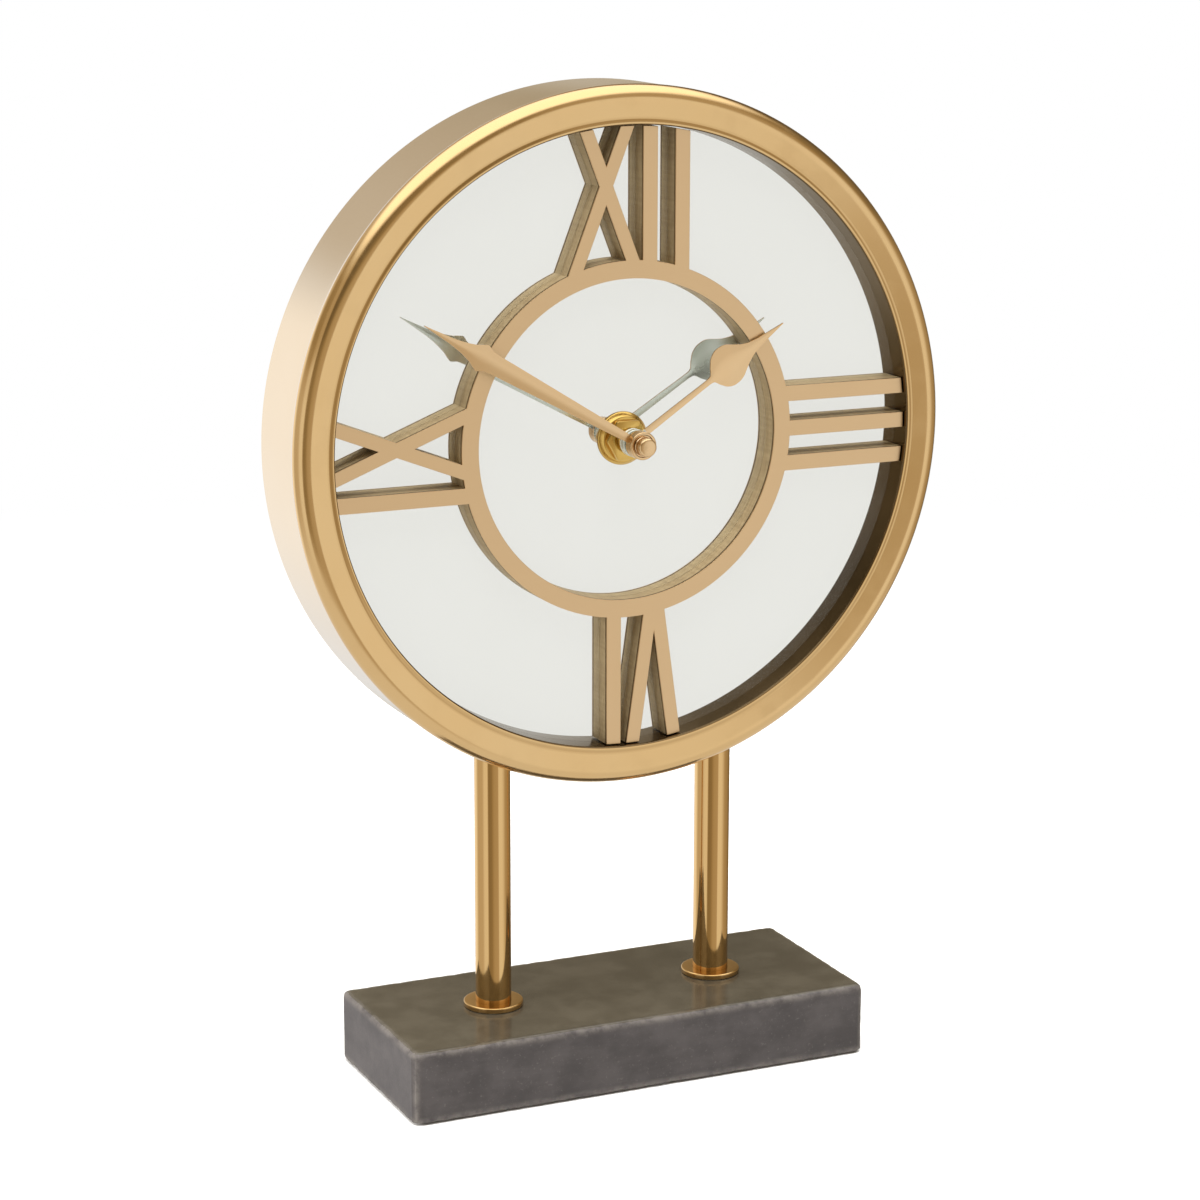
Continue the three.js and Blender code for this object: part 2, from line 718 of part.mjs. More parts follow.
function movementLid() {
  let lid = block([-moveSide, lidFront, lidStart], [moveSide, moveBack, moveTop]);
  const bores = [...pivots.map((axis) => [axis, pivotRadius]), [centreAxis, centreArbor]];
  for (const [[x, z], radius] of bores) {
    const blind = disc(radius + slip, 0, lidFront - overcut, lidFront + pivotDepth, screwFlats);
    lid = lid.subtract(blind.translate(x, 0, z));
  }
  const stemHole = disc(knobStemRadius + slip, 0, lidFront - overcut, moveBack + overcut, shaftFlats);
  return lid.subtract(stemHole.translate(knobAxis[0], 0, knobAxis[1]));
}
add(dial, 'movement_cover', movementLid(), 'black');

const bushFront = -bushReach;
const flangeFront = moveInside + seat;
const bush = disc(bushRadius, bushBore, bushFront, flangeFront + bushFlange, shaftFlats)
  .add(disc(bushFlangeRadius, bushBore, flangeFront, flangeFront + bushFlange, shaftFlats));
add(dial, 'threaded_bush', bush, 'brass');
add(dial, 'rubber_washer', disc(gasketRadius, bushRadius + slip, backingBack, moveFront - seat), 'black');
const dialWasher = turned([
  [bushRadius + slip, -seat], [bushRadius + slip, -dialWasherThickness - seat],
  [dialWasherFlat, -dialWasherThickness - seat], [dialWasherRadius, -dialWasherEdge - seat],
  [dialWasherRadius, -seat], [bushRadius + slip, -seat],
]);
add(dial, 'dial_washer', dialWasher, 'brass');
const nutBack = -dialWasherThickness - 2 * seat;
const nutFront = nutBack - dialNutHeight;
const dialNut = slab(hexagon(dialNutFlats), nutFront, nutBack)
  .subtract(disc(bushRadius + slip, 0, nutFront - overcut, nutBack + overcut, shaftFlats));
add(dial, 'fixing_nut', dialNut, 'brass');

// ---------------------------------------------------------------- hands and motion work

const hourPipeRadius = bushBore - slip;
const arborRadius = hourPipeBore - slip;

// A hand drawn upright from its half-width stations [distance, half width], folded along its
// centre line and leaning towards the dial from the arbor to the tip.
function blade(stations, rootHeight, tipHeight, length) {
  const right = stations.map(([v, half]) => [half, v]);
  const left = [...stations].reverse().map(([v, half]) => [-half, v]);
  const widest = Math.max(...stations.map(([, half]) => half)) + overcut;
  const drop = widest * handCrease;
  const cut = slab(outline([...right, ...left]), -overcut, drop + handThickness + overcut);
  const fold = outline([
    [-widest, -drop], [0, 0], [widest, -drop],
    [widest, -drop - handThickness], [0, -handThickness], [-widest, -drop - handThickness],
  ]);
  // The fold is drawn across the hand with its rise towards the viewer.
  const strip = solid(
    new THREE.ExtrudeGeometry(fold, { depth: length + 2 * handCollarRadius, bevelEnabled: false })
      .translate(0, 0, -handCollarRadius)
      .applyMatrix4(new THREE.Matrix4().makeBasis(
        new THREE.Vector3(1, 0, 0), new THREE.Vector3(0, -1, 0), new THREE.Vector3(0, 0, 1),
      )),
  );
  const lean = THREE.MathUtils.radToDeg(Math.atan((rootHeight - tipHeight) / length));
  return cut.intersect(strip).rotate(-lean, 0, 0).translate(0, -rootHeight, 0);
}

function hourHand() {
  const collarBack = hourHeight - hourCollarDrop;
  return blade(hourStations, hourHeight, hourTipHeight, hourLength)
    .add(disc(handCollarRadius, 0, -hourCollarHeight, -collarBack, shaftFlats))
    .subtract(disc(hourPipeRadius + slip, 0, -hourCollarHeight - overcut, 0, shaftFlats));
}

function minuteHand() {
  const collarBack = minuteHeight - minuteCollarDrop;
  return blade(minuteStations, minuteHeight, minuteTipHeight, minuteLength)
    .add(disc(handCollarRadius, 0, -minuteCollarHeight, -collarBack, shaftFlats))
    .subtract(disc(arborTip + slip, 0, -minuteCollarHeight - overcut, 0, shaftFlats));
}

const cannonPhase = 0;
const motionPhase = driven(motionBearing, cannonTeeth, cannonPhase, motionTeeth);
const motionPinionPhase = motionPhase;
const hourPhase = driven(motionBearing + 180, motionPinionTeeth, motionPinionPhase, hourTeeth);
const knobPhase = driven(knobBearing, motionTeeth, motionPhase, cannonTeeth);
const centrePhase = 0;
const thirdPhase = driven(thirdBearing, centreTeeth, centrePhase, thirdPinionTeeth);
const secondsPhase = driven(secondsBearing, thirdTeeth, thirdPhase, secondsPinionTeeth);

const wheelLayer = (module, teeth, at, phase) => gear(module, teeth, at, at + wheelThickness, phase);
const pinionLayer = (module, teeth, at, phase) => gear(
  module, teeth, at - stackLean, at + wheelThickness + stackLean, phase,
);

const hourPipeFront = pipeSink - hourCollarHeight;
const hourWheelBack = hourWheelAt + wheelThickness;
const hourWheel = wheelLayer(hourModule, hourTeeth, hourWheelAt, hourPhase)
  .add(disc(hourPipeRadius, 0, hourPipeFront, hourWheelAt + overlap, shaftFlats))
  .subtract(disc(hourPipeBore, 0, hourPipeFront - overcut, hourWheelBack + overcut, shaftFlats));
add(dial, 'hour_wheel', hourWheel, 'white');
add(dial, 'hour_hand', hourHand(), 'gold').rotation.y = THREE.MathUtils.degToRad(hourAngle);

const arborFront = -(minuteCollarHeight + arborShow);
const arborStep = minuteCollarDrop + 2 * seat - minuteHeight;
const pivotEnd = lidFront + pivotDepth - 2 * seat;
const minuteArbor = disc(centreArbor, 0, motionAt, pivotEnd, shaftFlats)
  .add(pinionLayer(motionModule, cannonTeeth, motionAt, cannonPhase))
  .add(wheelLayer(trainModule, centreTeeth, centreAt, centrePhase))
  .add(disc(arborRadius, 0, arborStep, motionAt + overlap, shaftFlats))
  .add(disc(arborTip, 0, arborFront, arborStep + overlap, shaftFlats));
add(dial, 'minute_arbor', minuteArbor, 'brass');
add(dial, 'minute_hand', minuteHand(), 'gold').rotation.y = THREE.MathUtils.degToRad(minuteAngle);

const capBack = -(minuteCollarHeight + seat);
const handNut = turned([
  [0, -capHeight], [capRadius - capEdge, -capHeight], [capRadius, -capHeight + capEdge], [capRadius, capBack],
  [arborTip + slip, capBack], [arborTip + slip, arborFront - seat], [0, arborFront - seat],
], shaftFlats);
add(dial, 'hand_nut', handNut, 'brass');

// Where a wheel's own arbor begins and ends, in the front plate and the lid.
const pivotStart = moveInside - pivotDepth + 2 * seat;
const arbor = (radius) => disc(radius, 0, pivotStart, pivotEnd, pivotFlats);

const motionWheel = wheelLayer(motionModule, motionTeeth, motionAt, motionPhase)
  .add(gear(hourModule, motionPinionTeeth, hourWheelAt - stackLean, motionAt + overlap, motionPinionPhase))
  .add(arbor(pivotRadius));
add(dial, 'motion_wheel', motionWheel, 'white', [motionAxis[0], 0, motionAxis[1]]);

const knobFront = moveBack + knobGap;
const knobBack = knobFront + knobHeight;
const setKnob = pinionLayer(motionModule, cannonTeeth, motionAt, knobPhase)
  .add(disc(pivotRadius, 0, pivotStart, motionAt + overlap, pivotFlats))
  .add(disc(knobStemRadius, 0, motionAt + overlap, knobFront + overlap, shaftFlats))
  .add(gear((2 * knobRadius) / knobFlutes, knobFlutes, knobFront, knobBack));
add(dial, 'set_knob', setKnob, 'white', [knobAxis[0], 0, knobAxis[1]]);

const thirdWheel = wheelLayer(trainModule, thirdTeeth, thirdAt, thirdPhase)
  .add(gear(trainModule, thirdPinionTeeth, centreAt - stackLean, thirdAt + overlap, thirdPhase))
  .add(arbor(pivotRadius));
add(dial, 'third_wheel', thirdWheel, 'white', [thirdAxis[0], 0, thirdAxis[1]]);

const secondsWheel = wheelLayer(trainModule, secondsTeeth, secondsAt, 0)
  .add(gear(trainModule, secondsPinionTeeth, thirdAt - stackLean, secondsAt + overlap, secondsPhase))
  .add(arbor(pivotRadius));
add(dial, 'seconds_wheel', secondsWheel, 'white', [secondsAxis[0], 0, secondsAxis[1]]);

// ---------------------------------------------------------------- stepping motor and electronics

const statorBack = statorAt + statorThickness;
const statorMiddle = (statorAt + statorBack) / 2;
const rotor = arbor(pivotRadius)
  .add(disc(rotorRadius, 0, statorMiddle - magnetHalf, statorMiddle + magnetHalf, shaftFlats))
  .add(gear(trainModule, rotorTeeth, secondsAt - stackLean, statorMiddle - magnetHalf + overlap));
add(dial, 'rotor', rotor, 'steel', [rotorAxis[0], 0, rotorAxis[1]]);

const innerHalf = statorHalfHeight - yoke;
const stator = block(
  [statorLeft, statorAt, rotorAxis[1] - statorHalfHeight],
  [statorRight, statorBack, rotorAxis[1] + statorHalfHeight],
).subtract(block(
  [statorLeft + yoke, statorAt - overcut, rotorAxis[1] - innerHalf],
  [statorRight - 2 * limbHalf, statorBack + overcut, rotorAxis[1] + innerHalf],
)).subtract(disc(rotorRadius + rotorGap, 0, statorAt - overcut, statorBack + overcut, shaftFlats)
  .translate(rotorAxis[0], 0, rotorAxis[1]));
add(dial, 'stator', stator, 'steel');

const coilLeft = statorLeft - coilWall;
const coilRight = statorLeft + yoke + coilWall;
const coilLong = innerHalf - coilGap;
const coil = block(
  [coilLeft, statorMiddle - coilHalf, rotorAxis[1] - coilLong],
  [coilRight, statorMiddle + coilHalf, rotorAxis[1] + coilLong],
).subtract(block(
  [statorLeft - coilSlip, statorAt - coilSlip, rotorAxis[1] - coilLong - overcut],
  [statorLeft + yoke + coilSlip, statorBack + coilSlip, rotorAxis[1] + coilLong + overcut],
));
add(dial, 'coil', coil, 'copper');

add(dial, 'circuit_board', block(
  [boardLeft, boardAt, boardLow], [boardRight, boardAt + boardThickness, boardHigh],
), 'green');
const crystal = uprightRing(crystalRadius, 0, 0, crystalLength, screwFlats);
add(dial, 'quartz_crystal', crystal, 'steel', [
  (boardLeft + boardRight) / 2, boardAt - crystalRadius - seat, (boardLow + boardHigh - crystalLength) / 2,
]);

// ---------------------------------------------------------------- battery and contacts

const cell = turned([
  [0, -batteryHalf], [batteryRadius - cellFoot, -batteryHalf], [batteryRadius, cellFoot - batteryHalf],
  [batteryRadius, batteryHalf - cellShoulder], [batteryRadius - cellShoulder, batteryHalf],
  [batteryNubRadius, batteryHalf], [batteryNubRadius, batteryHalf + batteryNub],
  [0, batteryHalf + batteryNub],
], shaftFlats);
const batteryDepth = moveInside + cellSet + batteryRadius;
const battery = add(dial, 'battery', cell, 'cell', [0, batteryDepth, batteryHeight]);
battery.rotation.z = -Math.PI / 2;

const contactWall = moveSide - moveWall - contactGap;
for (const [name, side] of [['negative', -1], ['positive', 1]]) {
  const near = side * (contactWall - contactThickness);
  const far = side * contactWall;
  add(dial, `contact_${name}`, block(
    [Math.min(near, far), moveInside + contactStart, batteryHeight - contactHalf],
    [Math.max(near, far), moveBack - contactEnd, batteryHeight + contactHalf],
  ), 'steel');
}

export default clock;
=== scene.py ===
# %% [markdown]
# # A round mantel clock on two posts
#
# The packed CAD model is a frame that already has every size, joint and hidden part right. Blender
# adds what a CAD model leaves out: rolled edges that catch the light, folded hands, worn stone and
# the finish of each material. Every new piece takes its place from the CAD piece it stands for, so
# the two can't drift apart.

# %% Load the frame
import json
import math

import bmesh
import bpy
from mathutils import Matrix, Vector, noise


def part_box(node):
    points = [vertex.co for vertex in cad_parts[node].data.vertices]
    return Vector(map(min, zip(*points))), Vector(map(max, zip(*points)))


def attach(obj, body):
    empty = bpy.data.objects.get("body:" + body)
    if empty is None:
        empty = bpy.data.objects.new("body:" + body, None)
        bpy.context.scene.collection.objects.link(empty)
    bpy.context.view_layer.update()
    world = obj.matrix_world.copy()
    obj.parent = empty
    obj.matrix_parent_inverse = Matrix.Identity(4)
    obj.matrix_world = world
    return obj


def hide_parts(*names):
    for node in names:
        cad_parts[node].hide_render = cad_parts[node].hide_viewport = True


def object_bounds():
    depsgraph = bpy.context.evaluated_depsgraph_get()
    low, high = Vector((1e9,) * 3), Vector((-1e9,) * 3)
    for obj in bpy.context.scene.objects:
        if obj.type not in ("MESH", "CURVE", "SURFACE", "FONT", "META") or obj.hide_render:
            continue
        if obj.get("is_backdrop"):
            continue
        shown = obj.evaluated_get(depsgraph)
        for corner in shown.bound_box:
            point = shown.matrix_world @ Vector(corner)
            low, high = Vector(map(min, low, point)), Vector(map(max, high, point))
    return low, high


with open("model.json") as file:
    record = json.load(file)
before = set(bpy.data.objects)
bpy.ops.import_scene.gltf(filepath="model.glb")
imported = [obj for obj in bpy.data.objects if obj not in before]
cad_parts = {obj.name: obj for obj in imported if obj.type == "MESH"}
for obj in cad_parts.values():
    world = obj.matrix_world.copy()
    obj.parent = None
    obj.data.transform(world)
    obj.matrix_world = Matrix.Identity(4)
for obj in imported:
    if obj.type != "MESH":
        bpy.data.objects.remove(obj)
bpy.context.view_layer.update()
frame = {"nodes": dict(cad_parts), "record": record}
nodes = frame["nodes"]
scene = bpy.context.scene
MM = 0.001

# %% [markdown]
# The dial has its own frame in this script: its centre is where the arbor comes through the mirror,
# and depths run back from the front of the mirror. Everything on the dial is turned or drawn in
# that frame in millimetres, as it was in the CAD source, so one number means the same in both.

# %% Places taken from the CAD nodes
mirror_low, mirror_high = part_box("mirror_dial")
DIAL = Vector((0, mirror_low.y, (mirror_low.z + mirror_high.z) / 2))
BACKWARD = Vector((0, 1, 0))
UP = Vector((0, 0, 1))
RIGHT = Vector((1, 0, 0))
block_low, block_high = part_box("base_block")
post_low, post_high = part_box("post_right")
POST_X = (post_low.x + post_high.x) / 2
POST_RADIUS = (post_high.x - post_low.x) / 2 / MM
case_low, case_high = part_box("case_shell")
CASE_RADIUS = (case_high.x - case_low.x) / 2 / MM
CASE_FRONT = (case_low.y - DIAL.y) / MM
CASE_BACK = (case_high.y - DIAL.y) / MM
print("dial centre", [round(v / MM, 2) for v in DIAL], "case radius", round(CASE_RADIUS, 2))

# %% [markdown]
# ## Shader maths
#
# A procedural finish is a formula over the surface. Wiring each sum by hand hides the formula, so
# a small class wraps a socket and lets Python's own operators add the Math nodes. One method makes
# every other kind of node.

# %% Sockets that do arithmetic
class Shade:
    """A socket of the material being made."""

    tree = None

    def __init__(self, socket):
        self.socket = socket

    @classmethod
    def node(cls, kind, settings=None, inputs=None, output=0):
        made = cls.tree.nodes.new(kind)
        for name, value in (settings or {}).items():
            if name == "stops":
                fill_ramp(made.color_ramp, value)
            else:
                setattr(made, name, value)
        for name, value in (inputs or {}).items():
            if isinstance(value, Shade):
                cls.tree.links.new(value.socket, made.inputs[name])
            else:
                made.inputs[name].default_value = value
        return cls(made.outputs[output])

    @classmethod
    def maths(cls, operation, *values):
        return cls.node("ShaderNodeMath", {"operation": operation}, dict(enumerate(values)))

    def __add__(self, other):
        return self.maths("ADD", self, other)

    __radd__ = __add__

    def __mul__(self, other):
        return self.maths("MULTIPLY", self, other)

    __rmul__ = __mul__

    def __sub__(self, other):
        return self.maths("SUBTRACT", self, other)

    def __rsub__(self, other):
        return self.maths("SUBTRACT", other, self)

    def __truediv__(self, other):
        return self.maths("DIVIDE", self, other)

    def __rtruediv__(self, other):
        return self.maths("DIVIDE", other, self)

    def __pow__(self, other):
        return self.maths("POWER", self, other)

    def __abs__(self):
        return self.maths("ABSOLUTE", self)


def fill_ramp(ramp, stops):
    """Stops are (position, colour or grey) pairs in rising order."""
    while len(ramp.elements) < len(stops):
        ramp.elements.new(0.5)
    for element, (position, value) in zip(ramp.elements, stops):
        element.position = position
        element.color = (value, value, value, 1) if isinstance(value, float) else (*value, 1)


print("operators ready:", [n for n in vars(Shade) if n.startswith("__") and "add" in n])

# %% [markdown]
# Sizes in a pattern are easier to judge in millimetres than in scale factors, so the coordinates
# are turned to millimetres from a chosen origin first. Object coordinates stay with the piece when
# it turns, which the hands and wheels need.

# %% Patterns in millimetres
def millimetres(origin=(0, 0, 0), stretch=(1, 1, 1)):
    """Object coordinates from an origin, in millimetres, each axis divided by its stretch."""
    scale = [1 / MM / s for s in stretch]
    shift = [-o * k for o, k in zip(origin, scale)]
    coordinates = Shade.node("ShaderNodeTexCoord", output="Object")
    return Shade.node("ShaderNodeMapping", inputs={"Vector": coordinates, "Location": shift, "Scale": scale})


def split(vector):
    return [Shade.node("ShaderNodeSeparateXYZ", inputs={0: vector}, output=i) for i in range(3)]


def joined(x, y, z):
    return Shade.node("ShaderNodeCombineXYZ", inputs={0: x, 1: y, 2: z})


def cloud(vector, size, detail=2.0, rough=0.5):
    """Soft noise from 0 to 1 whose blotches are about size millimetres across."""
    return Shade.node("ShaderNodeTexNoise", {"noise_dimensions": "3D"}, {
        "Vector": vector, "Scale": 1 / size, "Detail": detail, "Roughness": rough})


def ramp(value, stops):
    return Shade.node("ShaderNodeValToRGB", {"stops": stops}, {0: value})


def between(value, low, high):
    """0 below low, 1 above high and a smooth step between them."""
    return Shade.node("ShaderNodeMapRange", {"interpolation_type": "SMOOTHSTEP"}, {
        "Value": value, "From Min": low, "From Max": high})


def mixed(share, first, second):
    """A colour between two colours."""
    first, second = [(*c, 1) if isinstance(c, tuple) else c for c in (first, second)]
    return Shade.node("ShaderNodeMix", {"data_type": "RGBA"}, {0: share, 6: first, 7: second}, output=2)


def lines(origin, width, along):
    """Fine scratches that run along one axis (0, 1 or 2), as noise stretched that way."""
    stretch = [1, 1, 1]
    stretch[along] = 60
    return cloud(millimetres(origin, stretch), width, detail=3)


def rings(origin, width):
    """Fine lines that run round the dial's axis, as a lathe or a polishing wheel leaves them."""
    x, y, z = split(millimetres(origin))
    radius = (x * x + z * z) ** 0.5
    return cloud(joined(radius, y, x * 0.01), width, detail=3)


print("patterns ready")

# %% [markdown]
# A finish is one Principled shader. What is even all over is set on its own sockets; what varies is
# linked, and a height becomes a Bump node's normal.

# %% One function for every finish
FINISHES = {}


def finish(name, varying=None, bump=0.1, depth=0.05, **even):
    """Makes a material. varying returns {socket: Shade}, where Height feeds the bump; depth is in mm."""
    material = bpy.data.materials.new(name)
    material.use_nodes = True
    Shade.tree = material.node_tree
    Shade.tree.nodes.clear()
    shader = Shade.tree.nodes.new("ShaderNodeBsdfPrincipled")
    end = Shade.tree.nodes.new("ShaderNodeOutputMaterial")
    Shade.tree.links.new(shader.outputs[0], end.inputs["Surface"])
    for socket, value in even.items():
        socket = socket.replace("_", " ")
        shader.inputs[socket].default_value = (*value, 1) if isinstance(value, tuple) else value
    sockets = varying() if varying else {}
    if "Height" in sockets:
        sockets["Normal"] = Shade.node("ShaderNodeBump", inputs={
            "Height": sockets.pop("Height"), "Strength": bump, "Distance": depth * MM})
    for socket, value in sockets.items():
        Shade.tree.links.new(value.socket, shader.inputs[socket])
    FINISHES[name] = material
    return material


# %% [markdown]
# ### Gold-coloured metals
#
# The case is a pressing with a pale brass-gold plating under a clear coat: smooth, with very fine
# polishing lines that follow the circle and faint cloudiness where it was handled. The posts are
# polished harder. The numerals' faces are a paler, satin gold.

# %% Gold and brass
PALE_GOLD = (0.83, 0.575, 0.28)
DEEP_GOLD = (0.80, 0.53, 0.235)
PEACH_GOLD = (0.86, 0.625, 0.37)
POST_GOLD = (0.80, 0.52, 0.225)
YELLOW_BRASS = (0.83, 0.56, 0.17)
BEZEL_CREASE = CASE_RADIUS - 12.0


def crease():
    """Painted shade: a darker ring of colour in the crease beside the lip, 1 in it, 0 away from it."""
    x, _, z = split(millimetres(DIAL))
    radius = (x * x + z * z) ** 0.5
    return 1 - between(abs(radius - BEZEL_CREASE), 0.2, 1.3)


def pressed_gold():
    haze = cloud(millimetres(DIAL), 30)
    handled = cloud(millimetres(DIAL), 11, detail=4, rough=0.6)
    plating = mixed(haze, DEEP_GOLD, PALE_GOLD)
    return {
        # The crease's painted shade darkens the plating towards brown here.
        "Base Color": mixed(0.35 * crease(), plating, (0.50, 0.30, 0.105)),
        "Roughness": 0.12 + 0.05 * haze + 0.07 * between(handled, 0.45, 0.7),
        "Height": rings(DIAL, 0.5),
    }


# Painted shade: the recess wall is the same plating as the case, given a much darker gold that stands in for
# the dark surroundings it reflects.
def recess_painted_shade_gold():
    haze = cloud(millimetres(DIAL), 16)
    return {
        "Base Color": mixed(haze, (0.13, 0.088, 0.04), (0.21, 0.145, 0.075)),
        "Roughness": 0.2 + 0.08 * haze,
        "Height": rings(DIAL, 0.5),
    }


# Painted reflection: the drum wall is the same plating as the rest of the case, given a paler gold that
# stands in for the bright room it reflects; its drawing lines and scratches are real.
def drum_gold_painted_reflection():
    haze = cloud(millimetres(DIAL), 30)
    draw = lines(DIAL, 0.6, 1)
    scratches = between(cloud(millimetres(DIAL, (1, 1, 14)), 1.3, detail=4, rough=0.7), 0.66, 0.72)
    return {
        "Base Color": mixed(haze, (0.82, 0.64, 0.42), (0.86, 0.69, 0.48)),
        "Roughness": 0.12 + 0.05 * haze + 0.12 * scratches,
        "Height": draw - 0.8 * scratches,
    }


def polished_gold():
    haze = cloud(millimetres(stretch=(1, 1, 3)), 9)
    draw = lines((0, 0, 0), 0.4, 2)
    return {
        "Base Color": mixed(haze, POST_GOLD, DEEP_GOLD),
        "Roughness": 0.05 + 0.05 * haze + 0.03 * draw,
        "Height": draw,
    }


def satin_face():
    haze = cloud(millimetres(DIAL), 18)
    grain = cloud(millimetres(DIAL, (30, 1, 1)), 0.3, detail=3)
    return {
        "Base Color": mixed(haze, (0.83, 0.59, 0.335), PEACH_GOLD),
        "Roughness": 0.3 + 0.08 * haze + 0.08 * grain,
        "Height": grain,
    }


def hand_gold():
    haze = cloud(millimetres(DIAL), 12)
    return {
        "Base Color": mixed(haze, (0.84, 0.57, 0.30), (0.88, 0.64, 0.37)),
        "Roughness": 0.2 + 0.08 * haze,
        "Height": cloud(millimetres(DIAL), 0.5, detail=3),
    }


def bare_hand():
    haze = cloud(millimetres(DIAL), 8)
    return {
        "Base Color": mixed(haze, (0.70, 0.75, 0.70), (0.78, 0.81, 0.76)),
        "Roughness": 0.24 + 0.08 * haze,
        "Height": lines(DIAL, 0.3, 2),
    }


def yellow_brass():
    haze = cloud(millimetres(DIAL), 5)
    turning = rings(DIAL, 0.25)
    return {
        "Base Color": mixed(haze, (0.72, 0.46, 0.12), YELLOW_BRASS),
        "Roughness": 0.1 + 0.12 * haze + 0.06 * turning,
        "Height": turning,
    }


finish(
    "pressed_gold", pressed_gold, bump=0.02, depth=0.01, Metallic=1.0, Coat_Weight=0.3, Coat_Roughness=0.1,
)
finish("recess_painted_shade_gold", recess_painted_shade_gold, bump=0.02, depth=0.01, Metallic=1.0)
finish("drum_gold_painted_reflection", drum_gold_painted_reflection, bump=0.02, depth=0.01, Metallic=1.0, Coat_Weight=0.8, Coat_Roughness=0.08)
finish("polished_gold", polished_gold, bump=0.03, depth=0.02, Metallic=1.0)
finish("satin_face", satin_face, bump=0.08, depth=0.02, Metallic=1.0)
finish("hand_gold", hand_gold, bump=0.04, depth=0.02, Metallic=1.0, Coat_Weight=0.2, Coat_Roughness=0.1)
finish("bare_hand", bare_hand, bump=0.1, depth=0.02, Metallic=0.9)
finish("yellow_brass", yellow_brass, bump=0.08, depth=0.03, Metallic=1.0)
print("gold and brass:", list(FINISHES))

# %% [markdown]
# ### The fretwork's sides, the mirror and the stone
#
# The numerals are cut from a thick sheet, whose sawn sides are a dull olive brown with fine layers;
# right behind the metal face they carry a painted shadow, near black. The mirror is slightly green.
# The stone is dark grey: its top polished, its sides honed and mottled, and its edges worn pale.

# %% Sawn edges, mirror and stone
def sawn_edge():
    x, depth, z = split(millimetres(DIAL))
    layers = cloud(joined(x * 0.05, depth, z * 0.05), 0.45, detail=3)
    along = cloud(millimetres(DIAL, (1, 12, 1)), 1.2, detail=3)
    grain = layers * 0.6 + along * 0.4
    brown = mixed(between(grain, 0.35, 0.65), (0.37, 0.275, 0.15), (0.49, 0.38, 0.215))
    # Painted shadow: the sides are painted near black in a band just behind the metal face.
    shadow = between(depth, -5.5, -4.9)
    return {
        "Base Color": mixed(shadow, (0.045, 0.028, 0.012), brown),
        "Roughness": 0.42 + 0.2 * grain,
        "Height": grain,
    }


def mirror_glass():
    haze = cloud(millimetres(DIAL), 40)
    return {
        "Base Color": mixed(haze, (0.895, 0.905, 0.87), (0.91, 0.92, 0.89)),
        "Roughness": 0.015 + 0.012 * haze,
    }


BLOCK_MIDDLE = (block_low + block_high) / 2
BLOCK_HALF = (block_high - block_low) / 2 / MM


def near_edge(position, reach):
    """1 on the block's upper and corner edges, fading over reach: two of the three gaps are small."""
    gaps = [half - abs(axis) for half, axis in zip(BLOCK_HALF, split(position))]
    least = Shade.maths("MINIMUM", gaps[0], gaps[1])
    most = Shade.maths("MAXIMUM", gaps[0], gaps[1])
    second = Shade.maths("MAXIMUM", least, Shade.maths("MINIMUM", most, gaps[2]))
    return 1 - between(second, 0.2, reach)


def stone_patterns():
    position = millimetres(BLOCK_MIDDLE)
    mottle = cloud(position, 14, detail=4, rough=0.6)
    speck = cloud(position, 1.1, detail=3, rough=0.7)
    streak = cloud(millimetres(BLOCK_MIDDLE, (4, 1, 1)), 6, detail=5, rough=0.7)
    wear = near_edge(position, 3.0) * between(cloud(position, 5, detail=5, rough=0.7), 0.3, 0.62)
    return mottle, speck, streak, wear


def honed_stone():
    mottle, speck, streak, wear = stone_patterns()
    veins = between(mottle * 0.6 + streak * 0.4, 0.36, 0.66)
    body = mixed(veins, (0.045, 0.039, 0.0395), (0.070, 0.0615, 0.0615))
    grey = mixed(between(speck, 0.58, 0.76) * 0.3, body, (0.20, 0.185, 0.17))
    return {
        "Base Color": mixed(wear * 0.7, grey, (0.19, 0.172, 0.155)),
        "Roughness": 0.42 + 0.16 * speck + 0.1 * wear,
        "Height": speck * 0.5 + streak * 0.5,
    }


def polished_stone():
    mottle, speck, streak, wear = stone_patterns()
    body = mixed(between(mottle, 0.36, 0.66), (0.050, 0.043, 0.031), (0.070, 0.061, 0.045))
    return {
        "Base Color": mixed(wear * 0.6, body, (0.19, 0.172, 0.155)),
        "Roughness": 0.13 + 0.05 * mottle + 0.06 * between(streak, 0.5, 0.8) + 0.2 * wear,
        "Height": speck * 0.5 + streak * 0.5,
    }


finish("sawn_edge", sawn_edge, bump=0.1, depth=0.04, Metallic=0.35)
finish("mirror_glass", mirror_glass, Metallic=0.95)
finish("honed_stone", honed_stone, bump=0.35, depth=0.12)
finish("polished_stone", polished_stone, bump=0.05, depth=0.03, IOR=1.55)
print("block half sizes", [round(v, 2) for v in BLOCK_HALF], "mm")

# %% [markdown]
# ### The parts behind the dial
#
# Nobody polishes these: pressed board, black sheet, moulded plastics, plated steel, wound wire and
# a printed board. Each still has a texture at its own scale, because the back is seen too.

# %% Board, sheet, plastics and small parts
def mottled(dark, light, size, rough, spread, coarse=2.0):
    """A plain material's colour and gloss drifting a little, with a fine surface texture."""
    def varying():
        drift = cloud(millimetres(), size, detail=3)
        fine = cloud(millimetres(), coarse, detail=2)
        return {
            "Base Color": mixed(between(drift, 0.3, 0.7), dark, light),
            "Roughness": rough + spread * fine,
            "Height": fine,
        }
    return varying


